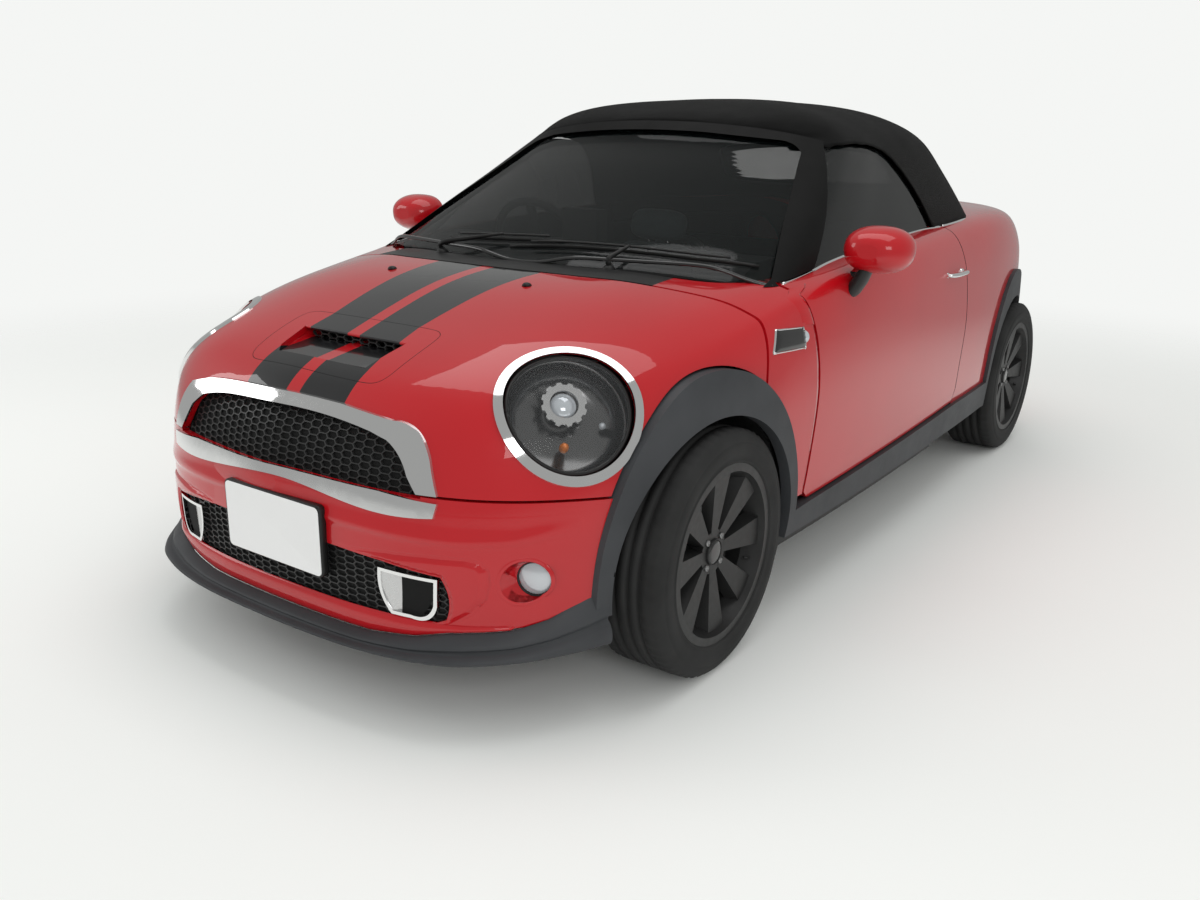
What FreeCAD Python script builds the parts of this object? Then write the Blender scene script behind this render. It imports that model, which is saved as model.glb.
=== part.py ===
import FreeCAD, Part
import math
import os
import Sketcher
from FreeCAD import Placement, Rotation, Vector

# Convertible car. Millimetres, +Z up, nose towards -Y, the car's left towards +X.
# The origin is the middle of the footprint, on the road.

doc = FreeCAD.newDocument("convertible")
sheet = doc.addObject("Spreadsheet::Sheet", "sizes")

SIZES = [
    # whole car
    ("body_length", 3734),
    ("body_height", 1390),
    ("skin_half_width", 822),
    ("lip_reach", 52),
    ("wheelbase", 2467),
    ("front_axle_forward", 1147),
    ("front_track", 1453),
    ("rear_track", 1461),
    # wheels
    ("tyre_radius", 308),
    ("tyre_width", 205),
    ("rim_radius", 226),
    ("rim_width", 190),
    ("tyre_shoulder", 296),
    ("tyre_bead", 214),
    ("sidewall_radius", 262),
    ("rim_lip", 8),
    ("rim_well", 196),
    ("rim_wall", 8),
    ("hub_radius", 56),
    ("hub_face", 62),
    ("hub_depth", 20),
    ("spoke_root", 20),
    ("spoke_end", 50),
    ("spoke_face", 80),
    ("spoke_back", 50),
    ("spindle_radius", 14),
    ("running_fit", 0.05),
    ("arch_gap", 30),
    ("disc_radius", 142),
    ("disc_thickness", 22),
    ("disc_offset", 4),
    ("kingpin_offset", 45),
    ("kingpin_radius", 18),
    ("kingpin_half", 100),
    # walls and gaps
    ("panel_thickness", 16),
    ("wall_thickness", 128),
    ("floor_thickness", 40),
    ("shut_gap", 6),
    ("bonnet_rear_gap", 10),
    ("lamp_gap", 8),
    ("lamp_lip", 2),
    ("lamp_sunk", 7),
    ("hood_thickness", 26),
    ("glass_thickness", 8),
    ("flare_proud", 14),
    ("trim_proud", 5),
    # lamps
    ("headlamp_radius", 138),
    ("headlamp_ring", 28),
    ("headlamp_depth", 70),
    ("foglamp_radius", 46),
    ("taillamp_depth", 40),
    # cabin
    ("dash_half_width", 600),
    ("steering_wheel_radius", 184),
    ("steering_wheel_rim", 14),
    ("steering_hub_radius", 62),
    ("steering_hub_depth", 36),
    ("column_radius", 22),
    ("driver_offset", 360),
    ("seat_width", 480),
    ("bench_width", 1080),
    ("seat_round", 30),
    ("console_width", 200),
    ("liner_thickness", 6),
    ("plate_width", 330),
    ("plate_height", 165),
    ("plate_thickness", 4),
    # underside
    ("exhaust_radius", 26),
    ("tailpipe_radius", 40),
    ("arm_radius", 18),
    ("beam_radius", 30),
    ("strut_radius", 22),
    ("joint_gap", 0.3),
    ("eye_height", 22),
    ("eye_radius", 20),
    ("silencer_radius", 75),
    ("silencer_length", 640),
    ("engine_width", 640),
    ("engine_length", 480),
    ("engine_height", 430),
    ("mirror_width", 190),
    ("mirror_height", 128),
    ("mirror_depth", 110),
    ("mirror_stalk", 16),
]

for row, (alias, value) in enumerate(SIZES, 1):
    sheet.set("A%d" % row, alias)
    sheet.set("B%d" % row, str(value))
    sheet.setAlias("B%d" % row, alias)
doc.recompute()


class Size:
    """A length that keeps its value and its formula in the sheet's names."""

    def __init__(self, value, formula):
        self.value = value
        self.formula = formula

    def __add__(self, other):
        other = as_size(other)
        return Size(self.value + other.value, "(%s + %s)" % (self.formula, other.formula))

    def __sub__(self, other):
        other = as_size(other)
        return Size(self.value - other.value, "(%s - %s)" % (self.formula, other.formula))

    def __mul__(self, share):
        return Size(self.value * share, "%s * %s" % (self.formula, share))

    def __neg__(self):
        return Size(-self.value, "(0 - %s)" % self.formula)

    def __float__(self):
        return float(self.value)


def as_size(length):
    """A length as a Size. A bare zero is allowed."""
    return length if isinstance(length, Size) else Size(length, str(length))


def named(alias):
    """The sheet's length of that name."""
    return Size(float(getattr(sheet, alias)), "sizes." + alias)


LENGTH = float(named("body_length"))
HEIGHT = float(named("body_height"))
HALF = float(named("skin_half_width"))
LIP_REACH = float(named("lip_reach"))
FRONT = LIP_REACH - LENGTH * 0.5
REAR = LENGTH * 0.5
GAP = float(named("shut_gap"))
PANEL = float(named("panel_thickness"))
WALL = float(named("wall_thickness"))
HUB_UP = float(named("tyre_radius"))
ARCH = HUB_UP + float(named("arch_gap"))
AXLE_FRONT = -float(named("front_axle_forward"))
AXLE_REAR = AXLE_FRONT + float(named("wheelbase"))
FRONT_WHEEL = float(named("front_track")) * 0.5
REAR_WHEEL = float(named("rear_track")) * 0.5

# Body skin. Tables are (place as a share of the length, value as a share of the height or half width).
NOSE_PLAN_SHARES = [
    (0, 0), (0.304, 0.0136), (0.523, 0.045), (0.693, 0.114), (0.809, 0.214),
    (0.9, 0.35), (0.955, 0.49), (0.983, 0.69), (1, 1),
]
TAIL_PLAN_SHARES = [
    (0, 0), (0.304, 0.0096), (0.584, 0.048), (0.779, 0.128), (0.894, 0.248),
    (0.955, 0.44), (0.983, 0.68), (1, 1),
]
NOSE_DEPTH_SHARE = 0.295
TAIL_DEPTH_SHARE = 0.335
SHOULDER_SHARES = [
    (-0.486, 0.512), (-0.455, 0.507), (-0.415, 0.507), (-0.375, 0.522), (-0.335, 0.54),
    (-0.307, 0.555), (-0.268, 0.583), (-0.228, 0.608), (-0.187, 0.624), (-0.08, 0.635),
    (0.08, 0.642), (0.241, 0.656), (0.321, 0.658), (0.388, 0.647), (0.442, 0.633), (0.495, 0.626),
]
CENTRE_SHARES = [
    (-0.486, 0.496), (-0.462, 0.529), (-0.445, 0.547), (-0.412, 0.579), (-0.373, 0.615),
    (-0.344, 0.637), (-0.311, 0.653), (-0.27, 0.665), (-0.187, 0.672), (0.0, 0.696),
    (0.187, 0.714), (0.281, 0.722), (0.348, 0.725), (0.428, 0.719), (0.469, 0.709), (0.495, 0.683),
]
CROWN_SHARES = [
    (-0.486, 0.108), (-0.375, 0.144), (-0.295, 0.115), (-0.187, 0.035),
    (0.0, 0.018), (0.187, 0.016), (0.321, 0.03), (0.495, 0.065),
]
FENDER_TUCK_SHARES = [
    (-0.486, 0.0), (-0.402, 0.012), (-0.348, 0.03), (-0.295, 0.03), (-0.228, 0.006), (-0.161, 0.0), (0.495, 0.0),
]
WALL_LEVEL_SHARES = [0, 0.21, 0.46, 0.63, 0.785, 0.91, 1.0]
FRONT_INSET_SHARES = [0.006, 0.0, 0.0, 0.009, 0.03, 0.064, 0.109]
SIDE_INSET_SHARES = [0.03, 0.006, 0.0, 0.0, 0.006, 0.015, 0.036]
REAR_INSET_SHARES = [0.036, 0.01, 0.0, 0.006, 0.018, 0.036, 0.073]
DECK_STEP_SHARES = [0.04, 0.10, 0.2, 0.4, 0.7]
SKIN_BOTTOM_SHARE = 0.137
DECK_CAP_SHARE = 0.69
SPINE_SHARES = (-0.13, 0.268)
DECK_SPINE_SHARE = 0.1
DECK_BLEND_SHARE = 0.12

# Greenhouse. Rows are (height, half width, front centre, front sag, rear centre, rear sag).
GREENHOUSE_SHARES = [
    (0.647, 0.894, -0.273, 0.080, 0.316, 0.060),
    (0.691, 0.878, -0.241, 0.084, 0.308, 0.062),
    (0.741, 0.852, -0.203, 0.080, 0.294, 0.064),
    (0.806, 0.809, -0.153, 0.074, 0.270, 0.062),
    (0.863, 0.766, -0.110, 0.065, 0.247, 0.058),
    (0.906, 0.724, -0.079, 0.055, 0.228, 0.054),
    (0.942, 0.645, -0.063, 0.045, 0.209, 0.048),
    (0.968, 0.535, -0.043, 0.036, 0.187, 0.044),
    (0.986, 0.389, -0.013, 0.027, 0.160, 0.036),
    (0.997, 0.207, 0.022, 0.015, 0.126, 0.024),
    (1.0, 0.06, 0.050, 0.005, 0.100, 0.008),
]
ROOM_FRONT_SHARES = [(0, 0), (0.35, 0.08), (0.65, 0.3), (0.87, 0.6), (0.97, 0.9), (0.998, 1.3)]
ROOM_SIDE_SHARES = [0.3, 0.5, 0.7]
ROOM_REAR_SHARES = [(0.995, 1.7), (0.965, 1.05), (0.87, 0.58), (0.65, 0.24), (0.35, 0.06), (0, 0)]


def smooth(table, place):
    """The smooth curve through a table of (place, value), read at one place."""
    if place <= table[0][0]:
        return table[0][1]
    if place >= table[-1][0]:
        return table[-1][1]
    i = 0
    while table[i + 1][0] < place:
        i += 1

    def slope(j):
        low = max(j - 1, 0)
        high = min(j + 1, len(table) - 1)
        return (table[high][1] - table[low][1]) / (table[high][0] - table[low][0])

    span = table[i + 1][0] - table[i][0]
    t = (place - table[i][0]) / span
    start = (2 * t ** 3 - 3 * t * t + 1) * table[i][1]
    end = (3 * t * t - 2 * t ** 3) * table[i + 1][1]
    lead = (t ** 3 - 2 * t * t + t) * slope(i) * span
    trail = (t ** 3 - t * t) * slope(i + 1) * span
    return start + lead + end + trail


def closed_curve(points, params):
    """A closed curve through points at given parameters."""
    curve = Part.BSplineCurve()
    curve.interpolate(Points=points, PeriodicFlag=True, Parameters=params)
    return curve


def closed_params(points):
    """Parameters from 0 to 1 by distance along the closed ring of points."""
    run = [0.0]
    for i, point in enumerate(points):
        run.append(run[-1] + (points[(i + 1) % len(points)] - point).Length)
    return [step / run[-1] for step in run]


def skinned(rings):
    """The closed solid whose smooth skin runs through the rings, with a flat cap at each end."""
    params = closed_params(rings[0])
    curves = [closed_curve(ring, params) for ring in rings]
    run = [0.0]
    for low, high in zip(rings, rings[1:]):
        run.append(run[-1] + sum((b - a).Length for a, b in zip(low, high)) / len(low))
    heights = [step / run[-1] for step in run]
    columns = []
    for j in range(len(curves[0].getPoles())):
        column = Part.BSplineCurve()
        column.interpolate(Points=[curve.getPoles()[j] for curve in curves], Parameters=heights)
        columns.append(column)
    surface = Part.BSplineSurface()
    surface.buildFromPolesMultsKnots(
        [column.getPoles() for column in columns],
        curves[0].getMultiplicities(),
        columns[0].getMultiplicities(),
        curves[0].getKnots(),
        columns[0].getKnots(),
        True,
        False,
        curves[0].Degree,
        columns[0].Degree,
    )
    skin = surface.toShape()
    caps = []
    for ring in (curves[0], curves[-1]):
        caps.append(Part.Face(Part.Wire([ring.toShape()])))
    shell = Part.makeShell([skin] + caps)
    shell.sewShape()
    solid = Part.makeSolid(shell)
    if solid.Volume < 0:
        solid.reverse()
    return solid


def mirrored_ring(half):
    """A whole ring from its left half, front to rear, both ends on the centreline."""
    return half + [Vector(-p.x, p.y, p.z) for p in reversed(half[1:-1])]


def plan_ring():
    """Plan outline of the body skin with its outward normals."""
    nose = [Vector(HALF * a, FRONT + LENGTH * NOSE_DEPTH_SHARE * b, 0) for a, b in NOSE_PLAN_SHARES]
    tail = [Vector(HALF * a, REAR - LENGTH * TAIL_DEPTH_SHARE * b, 0) for a, b in TAIL_PLAN_SHARES]
    points = mirrored_ring(nose + list(reversed(tail)))
    params = closed_params(points)
    curve = closed_curve(points, params)
    normals = []
    for param in params[:-1]:
        along = curve.tangent(param)[0]
        normals.append(Vector(along.y, -along.x, 0))
    return points, normals


def deck_height(x, y):
    """Height of the bonnet, belt and rear deck."""
    crown = smooth(CROWN_SHARES, y / LENGTH) * (abs(x) / HALF) ** 4
    return HEIGHT * (smooth(CENTRE_SHARES, y / LENGTH) - crown)


def body_solid(out):
    """The body's outer form moved out by a distance, or in where it is negative."""
    points, normals = plan_ring()
    bottom = HEIGHT * SKIN_BOTTOM_SHARE
    rings = []
    rows = zip(WALL_LEVEL_SHARES, FRONT_INSET_SHARES, SIDE_INSET_SHARES, REAR_INSET_SHARES)
    for level, front, side, rear in rows:
        ring = []
        for point, normal in zip(points, normals):
            place = point.y / LENGTH
            end = front if normal.y < 0 else rear
            tuck = smooth(FENDER_TUCK_SHARES, place) * level ** 3
            inset = HALF * (normal.x ** 2 * (side + tuck) + normal.y ** 2 * end)
            shoulder = HEIGHT * smooth(SHOULDER_SHARES, place)
            lift = bottom + (shoulder - bottom) * level + out * level
            if level == 0:
                lift = bottom - abs(out)
            ring.append(point - normal * (inset - out) + Vector(0, 0, lift))
        rings.append(ring)
    shoulder_ring = rings[-1]
    spine = [max(LENGTH * SPINE_SHARES[0], min(LENGTH * SPINE_SHARES[1], p.y)) for p in shoulder_ring]
    for step in DECK_STEP_SHARES:
        ring = []
        for point, middle in zip(shoulder_ring, spine):
            x = point.x * (1 - step)
            y = point.y + (middle - point.y) * step
            edge_drop = deck_height(point.x, point.y) + out - point.z
            blend = max(0, 1 - step / DECK_BLEND_SHARE) ** 3
            ring.append(Vector(x, y, deck_height(x, y) + out - edge_drop * blend))
        rings.append(ring)
    cap = []
    for point, middle in zip(shoulder_ring, spine):
        y = middle + (point.y - middle) * DECK_SPINE_SHARE
        cap.append(Vector(point.x * DECK_SPINE_SHARE, y, HEIGHT * DECK_CAP_SHARE + out))
    rings.append(cap)
    return skinned(rings)


def room_solid(out):
    """The greenhouse's outer form, windscreen and hood together, moved out by a distance."""
    rings = []
    for height, half, front, front_sag, rear, rear_sag in GREENHOUSE_SHARES:
        width = HALF * half + out
        up = HEIGHT * height + out
        ring = []
        for a, b in ROOM_FRONT_SHARES:
            ring.append(Vector(width * a, LENGTH * (front + front_sag * b) - out * max(0, 1 - b), up))
        first = front + front_sag * ROOM_FRONT_SHARES[-1][1]
        last = rear - rear_sag * ROOM_REAR_SHARES[0][1]
        for share in ROOM_SIDE_SHARES:
            ring.append(Vector(width, LENGTH * (first + (last - first) * share), up))
        for a, b in ROOM_REAR_SHARES:
            ring.append(Vector(width * a, LENGTH * (rear - rear_sag * b) + out * max(0, 1 - b), up))
        rings.append(mirrored_ring(ring))
    return skinned(rings)


def face_from(stretches, place):
    """A flat face inside a chain of stretches, each a smooth curve, joined by straight lines."""
    edges = []
    last = place(*stretches[-1][-1])
    for stretch in stretches:
        points = [place(*point) for point in stretch]
        if not points[0].isEqual(last, 0):
            edges.append(Part.LineSegment(last, points[0]).toShape())
        if len(points) == 2:
            edges.append(Part.LineSegment(points[0], points[1]).toShape())
        elif len(points) > 2:
            curve = Part.BSplineCurve()
            curve.interpolate(points)
            edges.append(curve.toShape())
        last = points[-1]
    return Part.Face(Part.Wire(edges))


def side_prism(stretches, low_x, high_x):
    """A side-view outline, in shares of length and height, carried across the car."""
    face = face_from(stretches, lambda a, b: Vector(low_x, LENGTH * a, HEIGHT * b))
    return face.extrude(Vector(high_x - low_x, 0, 0))


def plan_prism(stretches, low_z, high_z):
    """A plan outline, in shares of half width and length, carried upwards."""
    face = face_from(stretches, lambda a, b: Vector(HALF * a, LENGTH * b, low_z))
    return face.extrude(Vector(0, 0, high_z - low_z))


def front_prism(stretches, low_y, high_y):
    """A front-view outline, in shares of half width and height, carried along the car."""
    face = face_from(stretches, lambda a, b: Vector(HALF * a, low_y, HEIGHT * b))
    return face.extrude(Vector(0, high_y - low_y, 0))


def across(radius, y, z, low_x, high_x):
    """A cylinder lying across the car."""
    return Part.makeCylinder(radius, high_x - low_x, Vector(low_x, y, z), Vector(1, 0, 0))


def half_mirror(shape):
    """The same shape on the other side of the car."""
    return shape.mirror(Vector(0, 0, 0), Vector(1, 0, 0))


def both_sides(shape):
    """The left shape with its twin on the right."""
    return Part.makeCompound([shape, half_mirror(shape)])


SUBPARTS = []


def keep(label, shape):
    """One sub-part made from a finished shape."""
    piece = doc.addObject("Part::Feature", label)
    piece.Label = label
    piece.Shape = shape
    piece.Placement = Placement()
    SUBPARTS.append(piece)
    return piece


# Panels

FAR = LENGTH
FLARE_SHARES = {"wide": 0.1, "tall": 0.3215, "lead": 0.004}
DOOR_FRONT_SHARES = [(-0.201, 0.76), (-0.197, 0.66), (-0.188, 0.588), (-0.179, 0.49), (-0.181, 0.38), (-0.190, 0.25)]
DOOR_SILL_SHARES = [(-0.184, 0.235), (0.138, 0.256)]
DOOR_REAR_SHARES = [(0.146, 0.29), (0.152, 0.40), (0.155, 0.46), (0.146, 0.595), (0.139, 0.66), (0.136, 0.76)]
BONNET_LINE_SHARES = [(-0.6, 0.386), (-0.42, 0.384), (-0.37, 0.372)]
BONNET_REAR_SHARES = [(-0.254, 0.44), (-0.2525, 0.50), (-0.248, 0.592), (-0.249, 0.627), (-0.258, 0.68), (-0.262, 0.9)]
BONNET_PLAN_SHARES = [(-1.2, -0.249), (-0.9, -0.249), (-0.5, -0.275), (0, -0.284), (0.5, -0.275), (0.9, -0.249), (1.2, -0.249)]


def shifted(points, along, up=0.0):
    """An outline moved by lengths along and up."""
    return [(a + along / LENGTH, b + up / HEIGHT) for a, b in points]


def flare_outline(axle, grow):
    """The wheel flare's outer edge in side view, as a closed face carried across the car."""
    wide = LENGTH * FLARE_SHARES["wide"] + grow
    tall = HEIGHT * FLARE_SHARES["tall"] + grow
    oval = Part.Ellipse(Vector(0, 0, 0), max(wide, tall), min(wide, tall)).toShape()
    face = Part.Face(Part.Wire([oval]))
    if tall > wide:
        face.rotate(Vector(0, 0, 0), Vector(0, 0, 1), 90)
    face.rotate(Vector(0, 0, 0), Vector(1, 1, 1), 120)
    face.translate(Vector(-FAR, axle, HUB_UP))
    return face.extrude(Vector(2 * FAR, 0, 0))


body_outer = body_solid(0)
room_outer = room_solid(0)
thin_shell = body_outer.cut(body_solid(-PANEL))
thick_shell = body_outer.cut(body_solid(-WALL))

arches = [across(ARCH, AXLE_FRONT, HUB_UP, -FAR, FAR), across(ARCH, AXLE_REAR, HUB_UP, -FAR, FAR)]

door_area = side_prism([DOOR_FRONT_SHARES, DOOR_SILL_SHARES, DOOR_REAR_SHARES], 0, FAR)
door_gap_area = side_prism(
    [
        shifted(DOOR_FRONT_SHARES, -GAP),
        shifted(DOOR_SILL_SHARES, 0, -GAP),
        shifted(DOOR_REAR_SHARES, GAP),
    ],
    0,
    FAR,
)
REAR_GAP = float(named("bonnet_rear_gap"))
bonnet_side = side_prism([BONNET_LINE_SHARES, BONNET_REAR_SHARES, [(-0.6, 0.9)]], -FAR, FAR)
bonnet_gap_side = side_prism(
    [shifted(BONNET_LINE_SHARES, 0, -GAP), shifted(BONNET_REAR_SHARES, REAR_GAP), [(-0.6, 0.9)]],
    -FAR,
    FAR,
)
bonnet_plan = plan_prism([BONNET_PLAN_SHARES, [(1.2, -0.6)], [(-1.2, -0.6)]], 0, HEIGHT)
bonnet_gap_edge = [(a, b + REAR_GAP / LENGTH) for a, b in BONNET_PLAN_SHARES]
bonnet_gap_plan = plan_prism([bonnet_gap_edge, [(1.2, -0.6)], [(-1.2, -0.6)]], 0, HEIGHT)
GRILLE_SHARES = [
    [(-0.512, 0.384), (0.512, 0.384)],
    [(0.477, 0.415), (0.45, 0.442), (0.397, 0.466)],
    [(0.336, 0.475), (0.17, 0.486), (0, 0.4885), (-0.17, 0.486), (-0.336, 0.475), (-0.397, 0.466)],
    [(-0.45, 0.442), (-0.477, 0.415), (-0.512, 0.384)],
]
GRILLE_CHROME_SHARES = [
    [(-0.56, 0.384), (0.56, 0.384)],
    [(0.527, 0.442), (0.482, 0.477), (0.386, 0.491)],
    [(0.2, 0.5005), (0, 0.503), (-0.2, 0.5005), (-0.386, 0.491)],
    [(-0.482, 0.477), (-0.527, 0.442), (-0.56, 0.384)],
]
GRILLE_BAR_SHARES = [
    [(-0.55, 0.357), (-0.4, 0.353), (0, 0.372), (0.4, 0.353), (0.55, 0.357)],
    [(0.558, 0.38)],
    [(0.5, 0.382), (0.3, 0.392), (0, 0.402), (-0.3, 0.392), (-0.5, 0.382), (-0.558, 0.38)],
    [(-0.55, 0.357)],
]
LOWER_GRILLE_SHARES = [
    [(-0.53, 0.178), (0, 0.172), (0.53, 0.178)],
    [(0.575, 0.19), (0.585, 0.225), (0.565, 0.262)],
    [(0.4, 0.274), (0, 0.283), (-0.4, 0.274), (-0.565, 0.262)],
    [(-0.585, 0.225), (-0.575, 0.19), (-0.53, 0.178)],
]
DUCT_SHARES = [
    [(0.385, 0.262)],
    [(0.557, 0.257)],
    [(0.553, 0.21), (0.53, 0.188), (0.48, 0.185)],
    [(0.42, 0.186), (0.395, 0.21), (0.385, 0.262)],
]
CABIN_SHARES = [
    [(0.848, 0.0), (0.842, 0.12), (0.80, 0.2), (0.62, 0.262), (0, 0.285), (-0.62, 0.262)],
    [(-0.80, 0.2), (-0.842, 0.12), (-0.848, 0.0), (-0.845, -0.12), (-0.83, -0.18), (-0.74, -0.222)],
    [(-0.74, -0.222), (-0.4, -0.247), (0, -0.253), (0.4, -0.247), (0.74, -0.222), (0.83, -0.18), (0.845, -0.12)],
]
BUMPER_FRONT_END_SHARE = -0.33
BUMPER_REAR_START_SHARE = 0.43
LIP_TOP_SHARE = 0.178
BOOT_START_SHARE = 0.462
BOOT_SWING_SHARE = 0.2685
LAMP_BRACKET_SHARE = 0.3
REAR_BUMPER_TOP_SHARE = 0.4
SCUTTLE_END_SHARE = -0.15
BOOT_SHARES = [
    [(-0.54, 0.415), (0.54, 0.415)],
    [(0.54, 0.415), (0.566, 0.421), (0.575, 0.437)],
    [(0.56, 0.61), (0.545, 0.648), (0.50, 0.666)],
    [(0.50, 0.666), (0.25, 0.678), (0, 0.68), (-0.25, 0.678), (-0.50, 0.666)],
    [(-0.50, 0.666), (-0.545, 0.648), (-0.56, 0.61)],
    [(-0.575, 0.437), (-0.566, 0.421), (-0.54, 0.415)],
]
WINDOW_SHARES = [
    [(-0.165, 0.66)],
    [(-0.052, 0.883), (-0.035, 0.896), (0.0, 0.8985), (0.030, 0.893), (0.05, 0.878)],
    [(0.05, 0.878), (0.075, 0.835), (0.1, 0.76), (0.125, 0.66)],
]
SCREEN_AREA_SHARES = [
    [(-0.30, 0.40)],
    [(-0.148, 0.665)],
    [(-0.040, 0.905)],
    [(-0.068, 0.952)],
    [(-0.12, 1.2)],
    [(-0.6, 1.2)],
    [(-0.6, 0.4)],
]
SCREEN_SHARES = [
    [(-0.845, 0.60), (0.845, 0.60)],
    [(0.845, 0.66)],
    [(0.65, 0.86)],
    [(0.632, 0.88), (0.60, 0.893), (0.52, 0.906)],
    [(0.25, 0.919), (0, 0.923), (-0.25, 0.919), (-0.52, 0.906)],
    [(-0.60, 0.893), (-0.632, 0.88), (-0.65, 0.86)],
    [(-0.845, 0.66)],
    [(-0.845, 0.60)],
]
REAR_WINDOW_SHARES = [
    [(-0.44, 0.775), (0, 0.77), (0.44, 0.775)],
    [(0.44, 0.775), (0.466, 0.785), (0.47, 0.805)],
    [(0.445, 0.855), (0.425, 0.874), (0.38, 0.882)],
    [(0.38, 0.882), (0, 0.89), (-0.38, 0.882)],
    [(-0.38, 0.882), (-0.425, 0.874), (-0.445, 0.855)],
    [(-0.47, 0.805), (-0.466, 0.785), (-0.44, 0.775)],
]
TAILLAMP_SHARES = [
    [(0.60, 0.455), (0.66, 0.44), (0.73, 0.455)],
    [(0.76, 0.53), (0.74, 0.60), (0.70, 0.628), (0.64, 0.62)],
    [(0.605, 0.585), (0.59, 0.52), (0.60, 0.455)],
]


def grown(outline, grow):
    """A front-view outline pushed outwards from its middle by a length."""
    points = [point for stretch in outline for point in stretch]
    middle_a = (max(a for a, b in points) + min(a for a, b in points)) / 2
    middle_b = (max(b for a, b in points) + min(b for a, b in points)) / 2
    half_a = max(a for a, b in points) - middle_a
    half_b = max(b for a, b in points) - middle_b
    scale_a = 1 + grow / (half_a * HALF)
    scale_b = 1 + grow / (half_b * HEIGHT)
    result = []
    for stretch in outline:
        result.append([(middle_a + (a - middle_a) * scale_a, middle_b + (b - middle_b) * scale_b) for a, b in stretch])
    return result


def block(low_x, high_x, low_y, high_y, low_z, high_z):
    """A plain box between planes."""
    return Part.makeBox(high_x - low_x, high_y - low_y, high_z - low_z, Vector(low_x, low_y, low_z))


def rod(start, end, radius):
    """A straight round bar between two points."""
    return Part.makeCylinder(radius, (end - start).Length, start, end - start)


FRONT_HALF = block(-FAR, FAR, -FAR, 0, -HEIGHT, 2 * HEIGHT)
REAR_HALF = block(-FAR, FAR, 0, FAR, -HEIGHT, 2 * HEIGHT)


def through_front(outline, grow=0.0):
    """A front-view opening cut through the nose only."""
    return front_prism(grown(outline, grow), -FAR, AXLE_FRONT)


def through_rear(outline, grow=0.0):
    """A front-view opening cut through the tail only."""
    return front_prism(grown(outline, grow), AXLE_REAR, FAR)


# Shells at the depths that the panels need
TRIM = float(named("trim_proud"))
proud_solid = body_solid(TRIM)
FLARE = float(named("flare_proud"))
flare_solid = body_solid(FLARE)
cabin_opening = plan_prism(CABIN_SHARES, HEIGHT * 0.5, HEIGHT)

# Bonnet: a clamshell that carries the upper half of each front wing
HEADLAMP_SHARES = {"x": 0.72, "y": -0.397, "z": 0.492}
HEADLAMP_TURN = math.radians(51)
HEADLAMP_TILT = math.radians(36)
LAMP = float(named("headlamp_radius"))
LAMP_RING = float(named("headlamp_ring"))
lamp_spot = Vector(HALF * HEADLAMP_SHARES["x"], LENGTH * HEADLAMP_SHARES["y"], HEIGHT * HEADLAMP_SHARES["z"])
lamp_axis = Vector(
    math.sin(HEADLAMP_TURN) * math.cos(HEADLAMP_TILT),
    -math.cos(HEADLAMP_TURN) * math.cos(HEADLAMP_TILT),
    math.sin(HEADLAMP_TILT),
)


def lamp_barrel(radius, deep):
    """A round plug along the left headlamp's axis, reaching a depth behind the skin."""
    return Part.makeCylinder(radius, 2 * LAMP + deep, lamp_spot - lamp_axis * deep, lamp_axis)


LAMP_GAP = float(named("lamp_gap"))
LAMP_LIP = float(named("lamp_lip"))
lamp_holes = both_sides(lamp_barrel(LAMP + LAMP_GAP, LAMP))
lamp_rebate = both_sides(body_solid(-LAMP_LIP).common(lamp_barrel(LAMP + LAMP_GAP + PANEL, LAMP)))
bonnet = thin_shell.common(bonnet_side).common(bonnet_plan)
bonnet = bonnet.cut(flare_outline(AXLE_FRONT, GAP)).cut(through_front(GRILLE_SHARES)).cut(lamp_holes)
bonnet = bonnet.cut(lamp_rebate)
keep("bonnet", bonnet)

chrome_shell = proud_solid.cut(body_outer)
arch_chrome = chrome_shell.common(through_front(GRILLE_CHROME_SHARES)).cut(through_front(GRILLE_SHARES, -GAP))
arch_chrome = arch_chrome.common(bonnet_side)
lamp_rings = chrome_shell.common(both_sides(lamp_barrel(LAMP + LAMP_RING, LAMP))).cut(lamp_holes)
lamp_rings = lamp_rings.cut(flare_outline(AXLE_FRONT, GAP))
keep("bonnet_chrome", arch_chrome.fuse(lamp_rings.common(bonnet_side)))

# Headlamps stay on the body, inside the bonnet's holes
lamp_sunk = body_solid(-float(named("lamp_sunk")))
lamp_body = lamp_sunk.common(lamp_barrel(LAMP, float(named("headlamp_depth"))))
keep("headlamps", both_sides(lamp_body))

# Front bumper, with the openings for grilles and fog lamps
FOG = float(named("foglamp_radius"))
FOG_SHARES = {"x": 0.754, "z": 0.248}
fog_spot = Vector(HALF * FOG_SHARES["x"], FRONT, HEIGHT * FOG_SHARES["z"])
fog_aim = Vector(math.sin(math.radians(30)), -math.cos(math.radians(30)), 0)


def fog_barrel(radius):
    """A round plug along the left fog lamp's axis."""
    return Part.makeCylinder(radius, LENGTH * 0.2, fog_spot - fog_aim * LENGTH * -0.04, -fog_aim)


fog_barrels = both_sides(fog_barrel(FOG))
nose_area = block(-FAR, FAR, -FAR, LENGTH * BUMPER_FRONT_END_SHARE, HEIGHT * LIP_TOP_SHARE, HEIGHT)
bumper = thin_shell.common(nose_area).cut(bonnet_gap_side).cut(flare_outline(AXLE_FRONT, 0))
bumper = bumper.cut(through_front(GRILLE_SHARES)).cut(through_front(LOWER_GRILLE_SHARES)).cut(fog_barrels)
bumper = bumper.cut(lamp_holes)
keep("front_bumper", bumper)

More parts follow.
